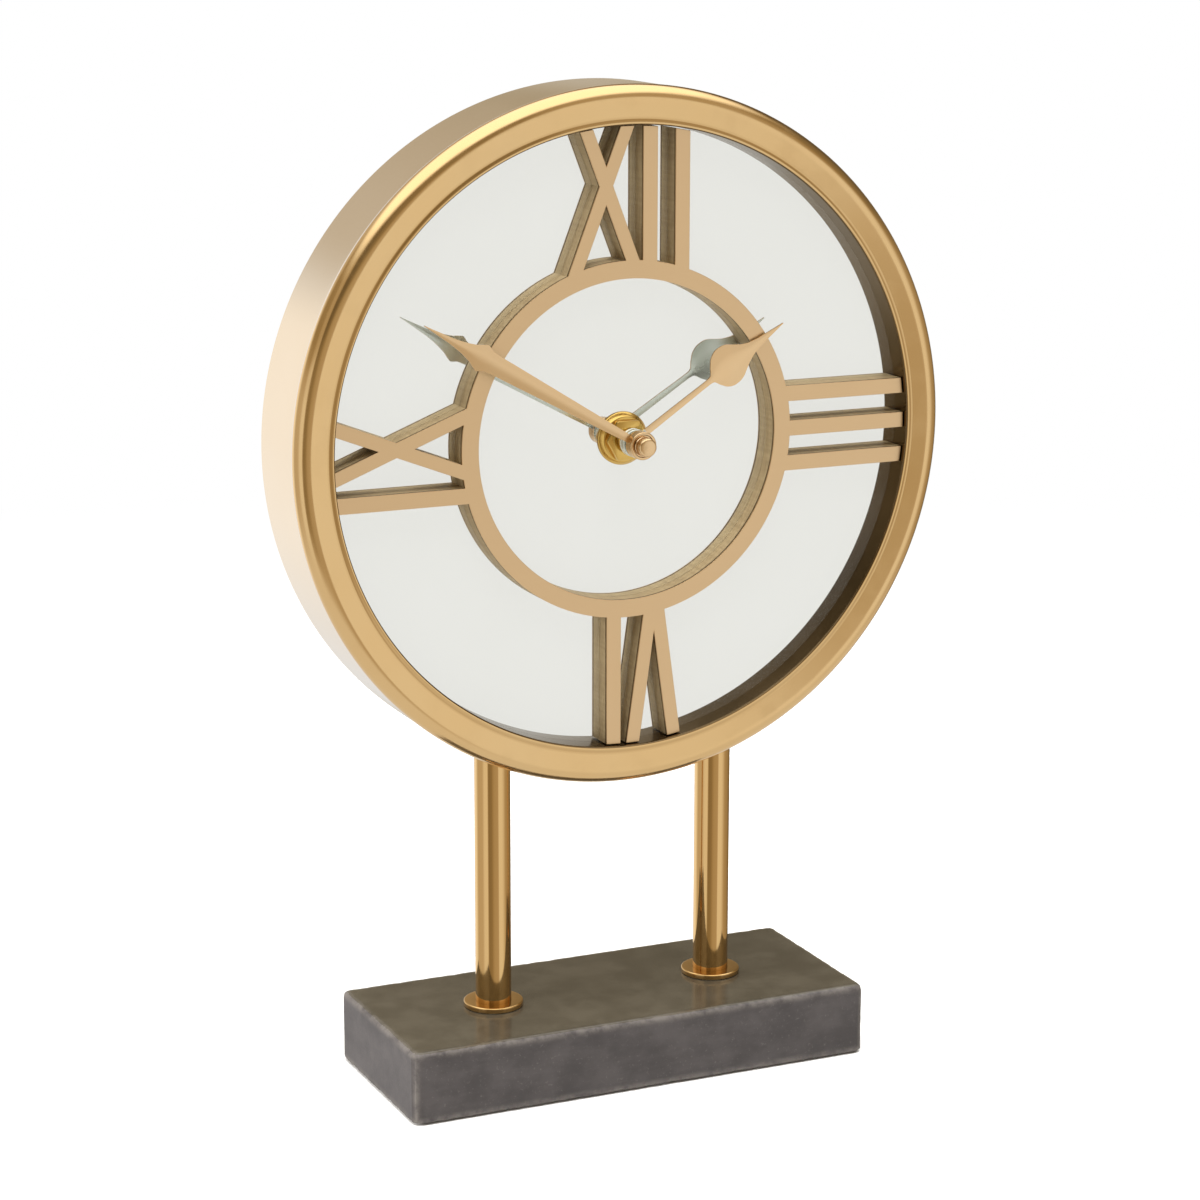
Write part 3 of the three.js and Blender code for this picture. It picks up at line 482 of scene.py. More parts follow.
def fibre_board():
    fibres = cloud(millimetres(stretch=(1, 1, 5)), 0.8, detail=5, rough=0.7)
    drift = cloud(millimetres(), 15)
    brown = mixed(between(fibres, 0.35, 0.65), (0.12, 0.075, 0.042), (0.21, 0.14, 0.083))
    return {
        "Base Color": mixed(between(drift, 0.4, 0.7) * 0.4, brown, (0.15, 0.105, 0.065)),
        "Roughness": 0.62 + 0.2 * fibres,
        "Height": fibres,
    }


def drawn_steel():
    draw = lines((0, 0, 0), 0.35, 2)
    haze = cloud(millimetres(), 6)
    return {
        "Base Color": mixed(haze, (0.50, 0.50, 0.505), (0.64, 0.64, 0.63)),
        "Roughness": 0.24 + 0.12 * draw + 0.06 * haze,
        "Height": draw,
    }


def wound_wire():
    x = split(millimetres())[0]
    turns = Shade.maths("SINE", x * (math.tau / 0.35)) * 0.5 + 0.5
    return {
        "Base Color": mixed(turns, (0.22, 0.07, 0.02), (0.70, 0.28, 0.10)),
        "Roughness": 0.3 + 0.15 * (1 - turns),
        "Height": turns,
    }


def woven_felt():
    fibres = cloud(millimetres(stretch=(1, 3, 1)), 0.5, detail=5, rough=0.8)
    return {
        "Base Color": mixed(fibres, (0.012, 0.012, 0.012), (0.05, 0.048, 0.046)),
        "Roughness": 0.85 + 0.1 * fibres,
        "Height": fibres,
    }


cell_low, cell_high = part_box("battery")
CELL_AXIS = (cell_low + cell_high) / 2
CELL_BAND = (cell_high.x - CELL_AXIS.x) / MM - 15


def cell_jacket():
    x = split(millimetres(CELL_AXIS))[0]
    band = between(x, CELL_BAND - 0.15, CELL_BAND + 0.15)
    end = between(abs(x), 24.2, 24.4)
    jacket = mixed(band, (0.018, 0.020, 0.024), (0.62, 0.33, 0.13))
    scuffs = cloud(millimetres(CELL_AXIS, (6, 1, 1)), 1.5, detail=4)
    return {
        "Base Color": mixed(end, jacket, (0.58, 0.58, 0.57)),
        "Metallic": band * 0.6 + end * (1 - band * 0.6),
        "Roughness": 0.22 + 0.16 * scuffs,
        "Height": scuffs,
    }


finish("fibre_board", fibre_board, bump=0.4, depth=0.1)
finish(
    "black_sheet", mottled((0.010, 0.010, 0.011), (0.018, 0.018, 0.019), 20, 0.34, 0.14, 0.7),
    bump=0.3, depth=0.06,
)
finish(
    "black_moulding", mottled((0.011, 0.011, 0.012), (0.020, 0.020, 0.021), 9, 0.42, 0.2, 0.35),
    bump=0.4, depth=0.05,
)
finish(
    "white_moulding", mottled((0.66, 0.65, 0.60), (0.74, 0.73, 0.69), 6, 0.32, 0.14, 0.6),
    bump=0.1, depth=0.03,
)
finish(
    "soft_rubber", mottled((0.012, 0.012, 0.012), (0.022, 0.022, 0.022), 5, 0.62, 0.2, 0.5),
    bump=0.3, depth=0.05,
)
finish(
    "circuit_board", mottled((0.012, 0.075, 0.030), (0.020, 0.11, 0.045), 3, 0.28, 0.16, 0.9),
    bump=0.1, depth=0.03,
)
finish("drawn_steel", drawn_steel, bump=0.1, depth=0.03, Metallic=1.0)
finish("wound_wire", wound_wire, bump=0.8, depth=0.15, Metallic=0.9)
finish("woven_felt", woven_felt, bump=0.8, depth=0.15, Sheen_Weight=0.3)
finish("cell_jacket", cell_jacket, bump=0.05, depth=0.03, Coat_Weight=0.5, Coat_Roughness=0.1)
print(len(FINISHES), "finishes")

# %% [markdown]
# ### Finishes for the CAD pieces that stay
#
# Pieces whose CAD shape is already the real one keep it. Each takes its finish from the material
# slot that the record gives it.

# %% Paint the CAD nodes
FINISH_OF_SLOT = {
    "polished_gold": "polished_gold", "brushed_gold": "pressed_gold", "satin_gold": "satin_face",
    "hand_gold": "hand_gold", "fret_edge": "sawn_edge", "brass": "yellow_brass", "stone": "honed_stone",
    "felt": "woven_felt", "mirror": "mirror_glass", "hardboard": "fibre_board", "black_cover": "black_sheet",
    "black_plastic": "black_moulding", "white_plastic": "white_moulding", "rubber": "soft_rubber",
    "steel": "drawn_steel", "copper_wire": "wound_wire", "circuit_board": "circuit_board",
    "battery_jacket": "cell_jacket",
}
SLOT_OF = {part["node"]: part["material_slot"] for part in frame["record"]["subparts"]}
BODY_OF = {
    node: body for body, members in frame["record"]["behaviour"]["bodies"].items() for node in members
}
for name, node in nodes.items():
    node.data.materials.clear()
    node.data.materials.append(FINISHES[FINISH_OF_SLOT[SLOT_OF[name]]])
print({slot: sum(1 for s in SLOT_OF.values() if s == slot) for slot in sorted(set(SLOT_OF.values()))})

# %% [markdown]
# ## From a bmesh to a finished piece
#
# Each new piece ends the same way: doubles merged, faces turned outwards, smooth shading that
# breaks at real edges and its finishes; then it rides on the body of the CAD node it stands for,
# and that node is hidden.

# %% Finish a piece
def show(name, bm, finishes, stands_for, sharp=35):
    """Makes the object for a bmesh in the row frame, hangs it on its body and hides the CAD nodes it stands
    for.
    """
    bmesh.ops.remove_doubles(bm, verts=bm.verts, dist=0.002 * MM)
    bmesh.ops.recalc_face_normals(bm, faces=bm.faces)
    mesh = bpy.data.meshes.new(name)
    bm.to_mesh(mesh)
    bm.free()
    for finish_name in finishes:
        mesh.materials.append(FINISHES[finish_name])
    mesh.shade_smooth()
    mesh.set_sharp_from_angle(angle=math.radians(sharp))
    piece = bpy.data.objects.new(name, mesh)
    scene.collection.objects.link(piece)
    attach(piece, BODY_OF[stands_for[0]])
    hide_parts(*stands_for)
    print(name, len(mesh.polygons), "faces, for", stands_for)
    return piece


# %% [markdown]
# Most of the clock is turned: the case, posts, collars, washers and nuts are all one outline spun
# round an axis. Points that lie on the axis stay one point, so an outline that starts and ends
# there is left open.

# %% Turn an outline round an axis
def spun(outline, centre, axis, outward, steps):
    """A bmesh of (radius, along) pairs in mm, turned once round the axis through centre."""
    bm = bmesh.new()
    ring = [bm.verts.new(centre + outward * (r * MM) + axis * (a * MM)) for r, a in outline]
    edges = [bm.edges.new(pair) for pair in zip(ring, ring[1:])]
    if outline[0][0] > 0:
        edges.append(bm.edges.new((ring[-1], ring[0])))
    bmesh.ops.spin(
        bm, geom=ring + edges, cent=centre, axis=axis, angle=math.tau, steps=steps, use_merge=True,
    )
    bmesh.ops.remove_doubles(bm, verts=bm.verts, dist=0.002 * MM)
    bmesh.ops.recalc_face_normals(bm, faces=bm.faces)
    return bm


def arc(centre, radius, start, end, count):
    """Points on an arc, with angles in degrees from the outward axis."""
    angles = [math.radians(start + (end - start) * i / count) for i in range(count + 1)]
    return [(centre[0] + radius * math.cos(a), centre[1] + radius * math.sin(a)) for a in angles]


def on_dial(outline, steps):
    return spun(outline, DIAL, BACKWARD, RIGHT, steps)


def all_verts(bm):
    return list(bm.verts)


def merged(*parts):
    """One bmesh that holds several, each still its own closed form."""
    whole = bmesh.new()
    for part in parts:
        mesh = bpy.data.meshes.new("part")
        part.to_mesh(mesh)
        part.free()
        whole.from_mesh(mesh)
        bpy.data.meshes.remove(mesh)
    return whole


print("turning ready")

# %% [markdown]
# Booleans are for what a drill or a saw does. Blender has them as a modifier, so the helper puts
# both forms in scratch objects, lets the modifier work and takes the result back as a bmesh.

# %% Cut or keep with a second form
def combined(bm, tool, operation, joins_itself=False):
    """The first form with the second one taken away, or kept to, by a Boolean modifier."""
    scratch = []
    for form in (bm, tool):
        mesh = bpy.data.meshes.new("scratch")
        form.to_mesh(mesh)
        form.free()
        scratch.append(bpy.data.objects.new("scratch", mesh))
        scene.collection.objects.link(scratch[-1])
    modifier = scratch[0].modifiers.new("cut", "BOOLEAN")
    modifier.operation = operation
    modifier.solver = "EXACT"
    modifier.use_self = joins_itself
    modifier.object = scratch[1]
    evaluated = scratch[0].evaluated_get(bpy.context.evaluated_depsgraph_get())
    result = bmesh.new()
    result.from_mesh(evaluated.to_mesh())
    evaluated.to_mesh_clear()
    for item in scratch:
        mesh = item.data
        bpy.data.objects.remove(item)
        bpy.data.meshes.remove(mesh)
    return result


def rod(centre, axis, outward, radius, start, end, steps=48):
    """A solid round bar for drilling, between two places along its axis, in mm."""
    outline = [(0, start), (radius, start), (radius, end), (0, end)]
    return spun(outline, centre, axis, outward, steps)


print("cutting ready")

# %% [markdown]
# ## The case
#
# The real case is one pressing: a drum wall, a rim rolled over at the front, a shallow dished
# face, a small rolled lip and the wall of the recess down to the mirror. The rolls are what make it
# look like metal, because each one squeezes the whole room into a thin bright or dark line. The
# outline follows them closely and a spin turns it round; 256 steps keep the edge round even in a
# close view. The rim stands a little proud of the drum wall.

# %% Outline of the case
RIM_ROLL = 5.0
DISH = 9
LIP_RISE = 0.35
LIP_REACH = 1.5
LIP_ROLL = 0.8
SHEET = 1.2
GROOVE = 0.28
LIP_RADIUS = CASE_RADIUS - 13.9
WALL_RINGS = [-13.0, -5.5, 5.5, 13.0]
FACE_STEPS = 12
SWELL_STEPS = 8
CASE_STEPS = 256

# The rim rolls over from the drum wall and runs straight on into the face, which leans inward.
dish = math.radians(DISH)
wall = CASE_RADIUS - GROOVE
rim_centre = (CASE_RADIUS - RIM_ROLL, CASE_FRONT + RIM_ROLL)
rim = arc(rim_centre, RIM_ROLL, 19, -90 - DISH, 28)
face_from = rim[-1]

# The face falls gently to a soft crease, and the lip rises from it before it rolls into the recess.
valley_radius = LIP_RADIUS + LIP_ROLL + LIP_REACH
valley = (valley_radius, face_from[1] + (face_from[0] - valley_radius) * math.tan(dish))
lip_centre = (LIP_RADIUS + LIP_ROLL, valley[1] - LIP_RISE + LIP_ROLL)
face = [
    (
        face_from[0] + (valley[0] - face_from[0]) * i / FACE_STEPS,
        face_from[1] + (valley[1] - face_from[1]) * i / FACE_STEPS,
    )
    for i in range(1, FACE_STEPS)
]
swell = [
    (
        valley[0] - LIP_REACH * i / SWELL_STEPS,
        valley[1] - LIP_RISE * (1 - math.cos(math.pi * i / SWELL_STEPS)) / 2,
    )
    for i in range(SWELL_STEPS)
]
lip = arc(lip_centre, LIP_ROLL, -90, -180, 10)
print("valley", round(valley_radius, 2), "mm from the axis")
wall_places = [CASE_BACK - 0.3] + [(-DIAL.y / MM) + ring for ring in reversed(WALL_RINGS)]
outline = (
    [(wall - 0.3, CASE_BACK)]
    + [(wall, place) for place in wall_places]
    + [(wall, CASE_FRONT + RIM_ROLL + 2.2)]
    + rim + face + swell + lip
    + [(LIP_RADIUS, -0.06), (LIP_RADIUS + SHEET, -0.06), (LIP_RADIUS + SHEET, lip_centre[1] + 0.6)]
    + [(LIP_RADIUS + 4, face_from[1] + SHEET), (face_from[0], face_from[1] + SHEET)]
    + arc(rim_centre, RIM_ROLL - SHEET, -90, -4, 8)
    + [(wall - SHEET, place) for place in reversed(wall_places)]
    + [(wall - SHEET, CASE_BACK)]
)
print(len(outline), "points in the outline of the case")

# %% Spin the case and drill it for the posts
shell = on_dial(outline, CASE_STEPS)
for side in (-1, 1):
    drill = rod(Vector((side * POST_X, 0, DIAL.z)), -UP, RIGHT, POST_RADIUS + 0.4, 90, 130)
    shell = combined(shell, drill, "DIFFERENCE")
shell.normal_update()
# Index 1 gets the drum wall's paler gold, a painted reflection; index 2 gets the recess wall's darker gold,
# a painted shade.
for face_ in shell.faces:
    middle = face_.calc_center_median() - DIAL
    outside = math.hypot(middle.x, middle.z) / MM > wall - 0.6
    inside = math.hypot(middle.x, middle.z) / MM < LIP_RADIUS + 0.5 * LIP_ROLL
    if outside and middle.y / MM > CASE_FRONT + RIM_ROLL + 0.5:
        face_.material_index = 1
    elif inside:
        face_.material_index = 2
show("case_pressing", shell, ["pressed_gold", "drum_gold_painted_reflection", "recess_painted_shade_gold"], ["case_shell"], sharp=28)

# %% [markdown]
# ## Posts and collars
#
# The posts are polished tube. A tube of many flats is enough, because the polish does the work: it
# mirrors the room as upright bands. The collars are turned rings with softened edges, and a thin
# dark gap under each edge comes from that softening.

# %% Turn the posts and collars
TUBE_WALL = 1.2
COLLAR_ROUND = 0.45
for side, name in ((-1, "left"), (1, "right")):
    centre = Vector((side * POST_X, 0, 0))
    low, high = (v.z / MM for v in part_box(f"post_{name}"))
    tube = [
        (POST_RADIUS, low + 0.3), (POST_RADIUS, (low + high) / 2), (POST_RADIUS, high - 0.3),
        (POST_RADIUS - 0.3, high), (POST_RADIUS - TUBE_WALL, high),
        (POST_RADIUS - TUBE_WALL, low), (POST_RADIUS - 0.3, low),
    ]
    show(f"polished_post_{name}", spun(tube, centre, UP, RIGHT, 96), ["polished_gold"], [f"post_{name}"])
    collar_low, collar_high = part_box(f"post_collar_{name}")
    radius = (collar_high.x - collar_low.x) / 2 / MM
    low, high = collar_low.z / MM, collar_high.z / MM
    inner = POST_RADIUS + 0.05
    r = COLLAR_ROUND
    ring = (
        [(inner, low), (radius - r, low)] + arc((radius - r, low + r), r, -90, 0, 6)[1:]
        + arc((radius - r, high - r), r, 0, 90, 6) + [(inner, high)]
    )
    collar = spun(ring, centre, UP, RIGHT, 96)
    show(f"turned_collar_{name}", collar, ["polished_gold"], [f"post_collar_{name}"])

# %% [markdown]
# ## The stone block
#
# A sawn and honed block has straight sides but no perfect edge: the upper edges are chamfered by
# hand and chipped by handling. The chamfers are bevels; a grid of fine cuts then gives them enough
# points to move, and noise pushes those points in by a fraction of a millimetre. Points only ever move
# into the stone, so the block keeps its size.

# %% Shape the block
CORNER_CUT = 3.0
TOP_CUT = 2.2
FOOT_CUT = 0.8
GRID_STEP = 1.6
CHIP = 0.32
WORN_REACH = 3.2
ROD_HOLE = 3.4
NUT_POCKET = 8
NUT_POCKET_DEPTH = 10


def edges_along(bm, test):
    return [edge for edge in bm.edges if test(*(v.co for v in edge.verts))]


def bevelled(bm, edges, offset, segments):
    bmesh.ops.bevel(
        bm, geom=edges, offset=offset * MM, offset_type="OFFSET", affect="EDGES", segments=segments,
        profile=0.5, material=-1, clamp_overlap=True,
    )


stone = bmesh.new()
bmesh.ops.create_cube(stone, size=1)
bmesh.ops.transform(
    stone, verts=all_verts(stone),
    matrix=Matrix.Translation(BLOCK_MIDDLE) @ Matrix.Diagonal((*(BLOCK_HALF * 2 * MM), 1)),
)
tiny = 0.01 * MM
bevelled(stone, edges_along(stone, lambda a, b: abs(a.z - b.z) > tiny), CORNER_CUT, 2)
bevelled(stone, edges_along(stone, lambda a, b: min(a.z, b.z) > block_high.z - tiny), TOP_CUT, 3)
bevelled(stone, edges_along(stone, lambda a, b: max(a.z, b.z) < block_low.z + tiny), FOOT_CUT, 2)
for axis, half in ((0, BLOCK_HALF[0]), (1, BLOCK_HALF[1]), (2, BLOCK_HALF[2])):
    normal = Vector([1 if i == axis else 0 for i in range(3)])
    count = int(2 * half / GRID_STEP)
    for i in range(1, count):
        place = BLOCK_MIDDLE + normal * ((-half + 2 * half * i / count) * MM)
        geometry = list(stone.verts) + list(stone.edges) + list(stone.faces)
        bmesh.ops.bisect_plane(stone, geom=geometry, plane_co=place, plane_no=normal, dist=1e-7)
print(len(stone.verts), "points on the block")

# %% Wear its edges, drill it and name its surfaces
def edge_gap(point):
    """How far a point is from the nearest upper or corner edge: the second smallest of three gaps."""
    gaps = sorted(half - abs(c) / MM for half, c in zip(BLOCK_HALF, point - BLOCK_MIDDLE))
    return gaps[1]


stone.normal_update()
for vert in stone.verts:
    gap = edge_gap(vert.co)
    if gap > WORN_REACH:
        continue
    chips = noise.fractal(vert.co / (4 * MM), 0.8, 2.2, 4) + 0.5 * noise.noise(vert.co / (1.6 * MM))
    depth = CHIP * max(0.0, chips) * (1 - gap / WORN_REACH)
    vert.co -= vert.normal * (depth * MM)
for side in (-1, 1):
    centre = Vector((side * POST_X, 0, 0))
    bottom = block_low.z / MM
    rod_hole = rod(centre, UP, RIGHT, ROD_HOLE, bottom - 1, bottom + 40, 32)
    stone = combined(stone, rod_hole, "DIFFERENCE")
    nut_pocket = rod(centre, UP, RIGHT, NUT_POCKET, bottom - 1, bottom + NUT_POCKET_DEPTH, 48)
    stone = combined(stone, nut_pocket, "DIFFERENCE")
stone.normal_update()
for face_ in stone.faces:
    face_.material_index = 1 if face_.normal.z > 0.9 else 0
show("stone_block", stone, ["honed_stone", "polished_stone"], ["base_block"], sharp=40)

# %% [markdown]
# ## The fretwork dial
#
# Ring and numerals are sawn from one sheet, with a thin metal face on top. Each numeral is a few
# straight limbs that run from the middle of the ring to the case. They are drawn upright, leaned
# with a shear and turned to their hour, and one Boolean keeps what lies inside the recess and melts
# the limbs and the ring together. The face's front edge then gets a small bevel to catch the light.

# %% Limbs of the numerals
face_low, face_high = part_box("chapter_ring_face")
fret_low, fret_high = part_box("chapter_ring")
FACE_FRONT = (face_low.y - DIAL.y) / MM
FACE_BACK = (face_high.y - DIAL.y) / MM
FRET_FRONT = (fret_low.y - DIAL.y) / MM
FRET_BACK = (fret_high.y - DIAL.y) / MM
RING_INNER = 57.6
RING_OUTER = 64.0
RING_MIDDLE = (RING_INNER + RING_OUTER) / 2
NUMERAL_MIDDLE = (RING_OUTER + LIP_RADIUS) / 2
STRAIGHT = 5.6
SLANTED = 5.2
CROSS_SLOPE = 0.39
VEE_SLOPE = 0.14


def straight(u):
    return [(u, 0, STRAIGHT, RING_MIDDLE)]


def cross(u, above):
    return [(u, slope, SLANTED, NUMERAL_MIDDLE + above) for slope in (CROSS_SLOPE, -CROSS_SLOPE)]


def vee(u):
    return [(u + SLANTED / 3 * s, VEE_SLOPE * s, SLANTED, RING_OUTER) for s in (1, -1)]


NUMERALS = {
    0: cross(-9.2, 2.6) + straight(7.7) + straight(20.2),
    90: straight(-12.7) + straight(0) + straight(12.7),
    180: vee(-10) + straight(5.9),
    270: straight(-15) + cross(3, 0.4),
}


def limb(u, slope, width, meets, turn, front, back):
    """One limb: a block from the ring to past the lip, leaned by slope and turned to its hour."""
    foot = RING_MIDDLE
    for _ in range(4):
        foot = math.sqrt(RING_MIDDLE ** 2 - min(u + slope * (foot - meets), RING_MIDDLE) ** 2)
    head = LIP_RADIUS + 3
    bm = bmesh.new()
    bmesh.ops.create_cube(bm, size=1)
    middle = (foot + head) / 2
    place = Matrix.Translation(Vector((0, (front + back) / 2, middle)))
    size = Matrix.Diagonal((width, back - front, head - foot, 1))
    lean = Matrix.Identity(4)
    lean[0][2] = slope
    lean[0][3] = u - slope * meets
    spin_to_hour = Matrix.Rotation(math.radians(turn), 4, "Y")
    to_row = Matrix.Translation(DIAL) @ Matrix.Scale(MM, 4)
    bmesh.ops.transform(bm, verts=all_verts(bm), matrix=to_row @ spin_to_hour @ lean @ place @ size)
    return bm


def fretwork(front, back):
    ring = on_dial([(RING_INNER, front), (RING_OUTER, front), (RING_OUTER, back), (RING_INNER, back)], 192)
    limbs = [
        limb(*values, turn, front, back) for turn, numeral in NUMERALS.items() for values in numeral
    ]
    recess = rod(DIAL, BACKWARD, RIGHT, LIP_RADIUS - 0.4, front - 1, back + 1, 192)
    return combined(merged(ring, *limbs), recess, "INTERSECT", joins_itself=True)


print(sum(len(limbs) for limbs in NUMERALS.values()), "limbs")

# %% Saw the sheet and its face
sheet_ = fretwork(FRET_FRONT, FRET_BACK)
show("fret_sheet", sheet_, ["sawn_edge"], ["chapter_ring"], sharp=25)

plate = fretwork(FACE_FRONT, FACE_BACK)
bmesh.ops.dissolve_limit(plate, angle_limit=math.radians(0.5), verts=plate.verts, edges=plate.edges)
front_y = DIAL.y + FACE_FRONT * MM
rim = [
    edge for edge in plate.edges
    if all(abs(v.co.y - front_y) < 0.01 * MM for v in edge.verts) and edge.is_manifold
    and edge.calc_face_angle(0) > math.radians(60)
]
bevelled(plate, rim, 0.12, 2)
show("fret_face", plate, ["satin_face"], ["chapter_ring_face"], sharp=20)
print(len(rim), "edges softened round the face")

# %% [markdown]
# ## The hands
#
# Each hand is stamped from thin sheet and creased down the middle, so one half is always brighter
# than the other. Half the outline is enough: a strip of faces between the crease and the edge,
# mirrored across the crease, leaned towards the dial and then given its thickness. The back stays
# bare metal, and the mirror shows it.

# %% Draw a creased blade
HAND_SHEET = 0.6
CREASE = 0.14


def eased(stations, count):
    """Stations on a smooth curve through the given (distance, half width) pairs."""
    points = [stations[0], *stations, stations[-1]]
    made = []
    for a, b, c, d in zip(points, points[1:], points[2:], points[3:]):
        for i in range(count):
            t = i / count
            width = 0.5 * (
                2 * b[1] + (c[1] - a[1]) * t + (2 * a[1] - 5 * b[1] + 4 * c[1] - d[1]) * t ** 2
                + (3 * b[1] - a[1] - 3 * c[1] + d[1]) * t ** 3
            )
            made.append((b[0] + (c[0] - b[0]) * t, max(width, 0.12)))
    return made + [stations[-1]]


def blade(stations, root, tip, length):
    """A blade drawn upright in dial mm: its crease is root high at the arbor and tip high at its end."""
    bm = bmesh.new()
    rows = []
    for distance, half in stations:
        front = -(root + (tip - root) * distance / length)
        rows.append([bm.verts.new((x, front + CREASE * x, distance)) for x in (0, half * 0.5, half)])
    for low, high in zip(rows, rows[1:]):
        for i in range(2):
            bm.faces.new((low[i], low[i + 1], high[i + 1], high[i]))
    bmesh.ops.mirror(bm, geom=list(bm.verts) + list(bm.edges) + list(bm.faces), axis="X", merge_dist=0.01)
    bmesh.ops.remove_doubles(bm, verts=bm.verts, dist=0.001)
    bmesh.ops.recalc_face_normals(bm, faces=bm.faces)
    if sum(f.normal.y for f in bm.faces) > 0:
        bmesh.ops.reverse_faces(bm, faces=bm.faces)
    back = bmesh.ops.extrude_face_region(bm, geom=list(bm.faces))
    moved = [v for v in back["geom"] if isinstance(v, bmesh.types.BMVert)]
    bmesh.ops.translate(bm, verts=moved, vec=(0, HAND_SHEET, 0))
    bmesh.ops.recalc_face_normals(bm, faces=bm.faces)
    return bm


def to_hour(bm, degrees):
    """Turns a form drawn upright on the dial, in mm, to its bearing and into the row frame."""
    turn = Matrix.Rotation(math.radians(degrees), 4, "Y")
    bmesh.ops.transform(
        bm, verts=all_verts(bm), matrix=Matrix.Translation(DIAL) @ turn @ Matrix.Scale(MM, 4),
    )
    return bm


def back_bare(bm, bare_radius=0):
    """A hand's rear faces are bare metal, and so is all within bare_radius of the arbor."""
    bm.normal_update()
    for face_ in bm.faces:
        middle = face_.calc_center_median() - DIAL
        central = math.hypot(middle.x, middle.z) / MM < bare_radius
        face_.material_index = 1 if central or face_.normal.y > 0.8 else 0
    return bm


print("blades ready")

# %% Hour hand and minute hand
HOUR_STATIONS = [
    (0, 1.3), (12, 1.2), (25, 1.1), (35.5, 1.0), (37.6, 1.5), (39, 3.7), (41, 6.1), (43.5, 7.4), (46, 7.6),
    (48.5, 7.0), (51, 5.3), (53.5, 3.6), (56.5, 2.3), (60, 1.5), (66, 0.75), (71.3, 0.15),
]
MINUTE_STATIONS = [
    (0, 1.3), (20, 2.02), (42, 2.81), (62, 3.5), (65.2, 3.9), (67.3, 4.9), (68.4, 4.6), (71, 3.3), (75, 2.1),
    (80, 1.2), (86, 0.62), (91.8, 0.15),
]
hour_blade = to_hour(blade(eased(HOUR_STATIONS, 4), 9.9, 7.7, 71.3), 57.2)
hour_collar = on_dial(
    [(2.65, -8.4), (4.6, -8.4)] + arc((4.6, -8.8), 0.4, 90, 0, 3)[1:]
    + [(5, -9.4), (4.75, -9.6), (4.75, -9.9), (5, -10.1)] + arc((4.6, -11.8), 0.4, 0, -90, 4) + [(3.5, -12.2), (3.1, -11.9), (2.65, -11.9)], 64,
)
hour_hand = back_bare(merged(hour_blade, hour_collar), 5.2)
show("hour_hand_blade", hour_hand, ["hand_gold", "bare_hand"], ["hour_hand"], 30)

minute_blade = to_hour(blade(eased(MINUTE_STATIONS, 4), 15.4, 11.6, 91.8), -59.8)
minute_collar = on_dial(
    [(1.4, -13.6), (4.6, -13.6)] + arc((4.6, -14.0), 0.4, 90, 0, 3)[1:] + [(5, -15.0)]
    + arc((4.6, -17.8), 0.4, 0, -90, 4) + [(4.1, -18.2), (3.85, -17.8), (1.4, -17.8)], 64,
)
minute_hand = back_bare(merged(minute_blade, minute_collar))
show("minute_hand_blade", minute_hand, ["hand_gold", "bare_hand"], ["minute_hand"], 30)

# %% [markdown]
# ## The fitting at the centre
#
# What holds the movement to the dial: a domed washer, a hexagon nut on the threaded bush, and a
# small cap nut that holds the minute hand. The hexagon starts as a six-sided cone and its corners
# are bevelled; the thread is a stack of shallow ridges.

# %% Washer, nut, thread and cap
washer = on_dial([
    (3.95, -0.05), (9.6, -0.05), (9.6, -0.5), (9.55, -0.75), (9.35, -1.1), (8.75, -1.9), (8.35, -2.4),
    (8.1, -2.6), (7.8, -2.65), (3.95, -2.65),
], 96)
show("domed_washer", washer, ["yellow_brass"], ["dial_washer"], 40)

NUT_FLATS = 14.0
nut = bmesh.new()
nut_corner = NUT_FLATS / math.sqrt(3) * MM
bmesh.ops.create_cone(nut, cap_ends=True, segments=6, radius1=nut_corner, radius2=nut_corner, depth=3 * MM)
upright = [e for e in nut.edges if abs(e.verts[0].co.z - e.verts[1].co.z) > tiny]
bevelled(nut, upright, 0.5, 2)
bevelled(nut, [e for e in nut.edges if abs(e.verts[0].co.z - e.verts[1].co.z) < tiny], 0.3, 2)
lying = Matrix.Rotation(math.radians(-90), 4, "X") @ Matrix.Rotation(math.radians(30), 4, "Z")
bmesh.ops.transform(
    nut, verts=all_verts(nut), matrix=Matrix.Translation(DIAL + BACKWARD * (-4.2 * MM)) @ lying,
)
nut = combined(nut, rod(DIAL, BACKWARD, RIGHT, 3.95, -7, 1, 48), "DIFFERENCE")
show("hexagon_nut", nut, ["yellow_brass"], ["fixing_nut"], 30)

thread = [(3.9 - (0.22 if i % 2 else 0), -6.9 + 0.3 * i) for i in range(1, 20)]
bush = on_dial(
    [(2.65, -6.9), (3.6, -6.9), *thread, (3.9, -0.3), (3.9, 8.55), (6, 8.55), (6, 9.15), (2.65, 9.15)], 64,
)
show("thread_bush", bush, ["yellow_brass"], ["threaded_bush"], 30)

cap = on_dial(
    [(0, -22.4), (1.0, -22.37), (1.9, -22.27)] + arc((2.4, -21.25), 1.0, -75, 0, 7)
    + [(3.4, -19.1), (3.2, -18.85), (3.2, -18.55), (3.4, -18.25)]
    + [(1.4, -18.25), (1.4, -20.05), (0, -20.05)], 64,
)
show("cap_nut", cap, ["hand_gold"], ["hand_nut"], 30)

# %% [markdown]
# ## The back
#
# The rear cover is a black sheet with a rolled edge and a window for the battery. The cover starts
# as a turned disc, a bevelled block cuts the window, and only the window's outer edge is rounded,
# as a press tool leaves it.

# %% Rear cover
EDGE_ROLL = 0.8
WINDOW_GAP = 6.0
WINDOW_ROUND = 5.0
WINDOW_BEVEL = 0.4
WINDOW_REACH = 60
SCREW_HOLE = 1.55


def depths(name):
    low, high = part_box(name)
    return (low.y - DIAL.y) / MM, (high.y - DIAL.y) / MM


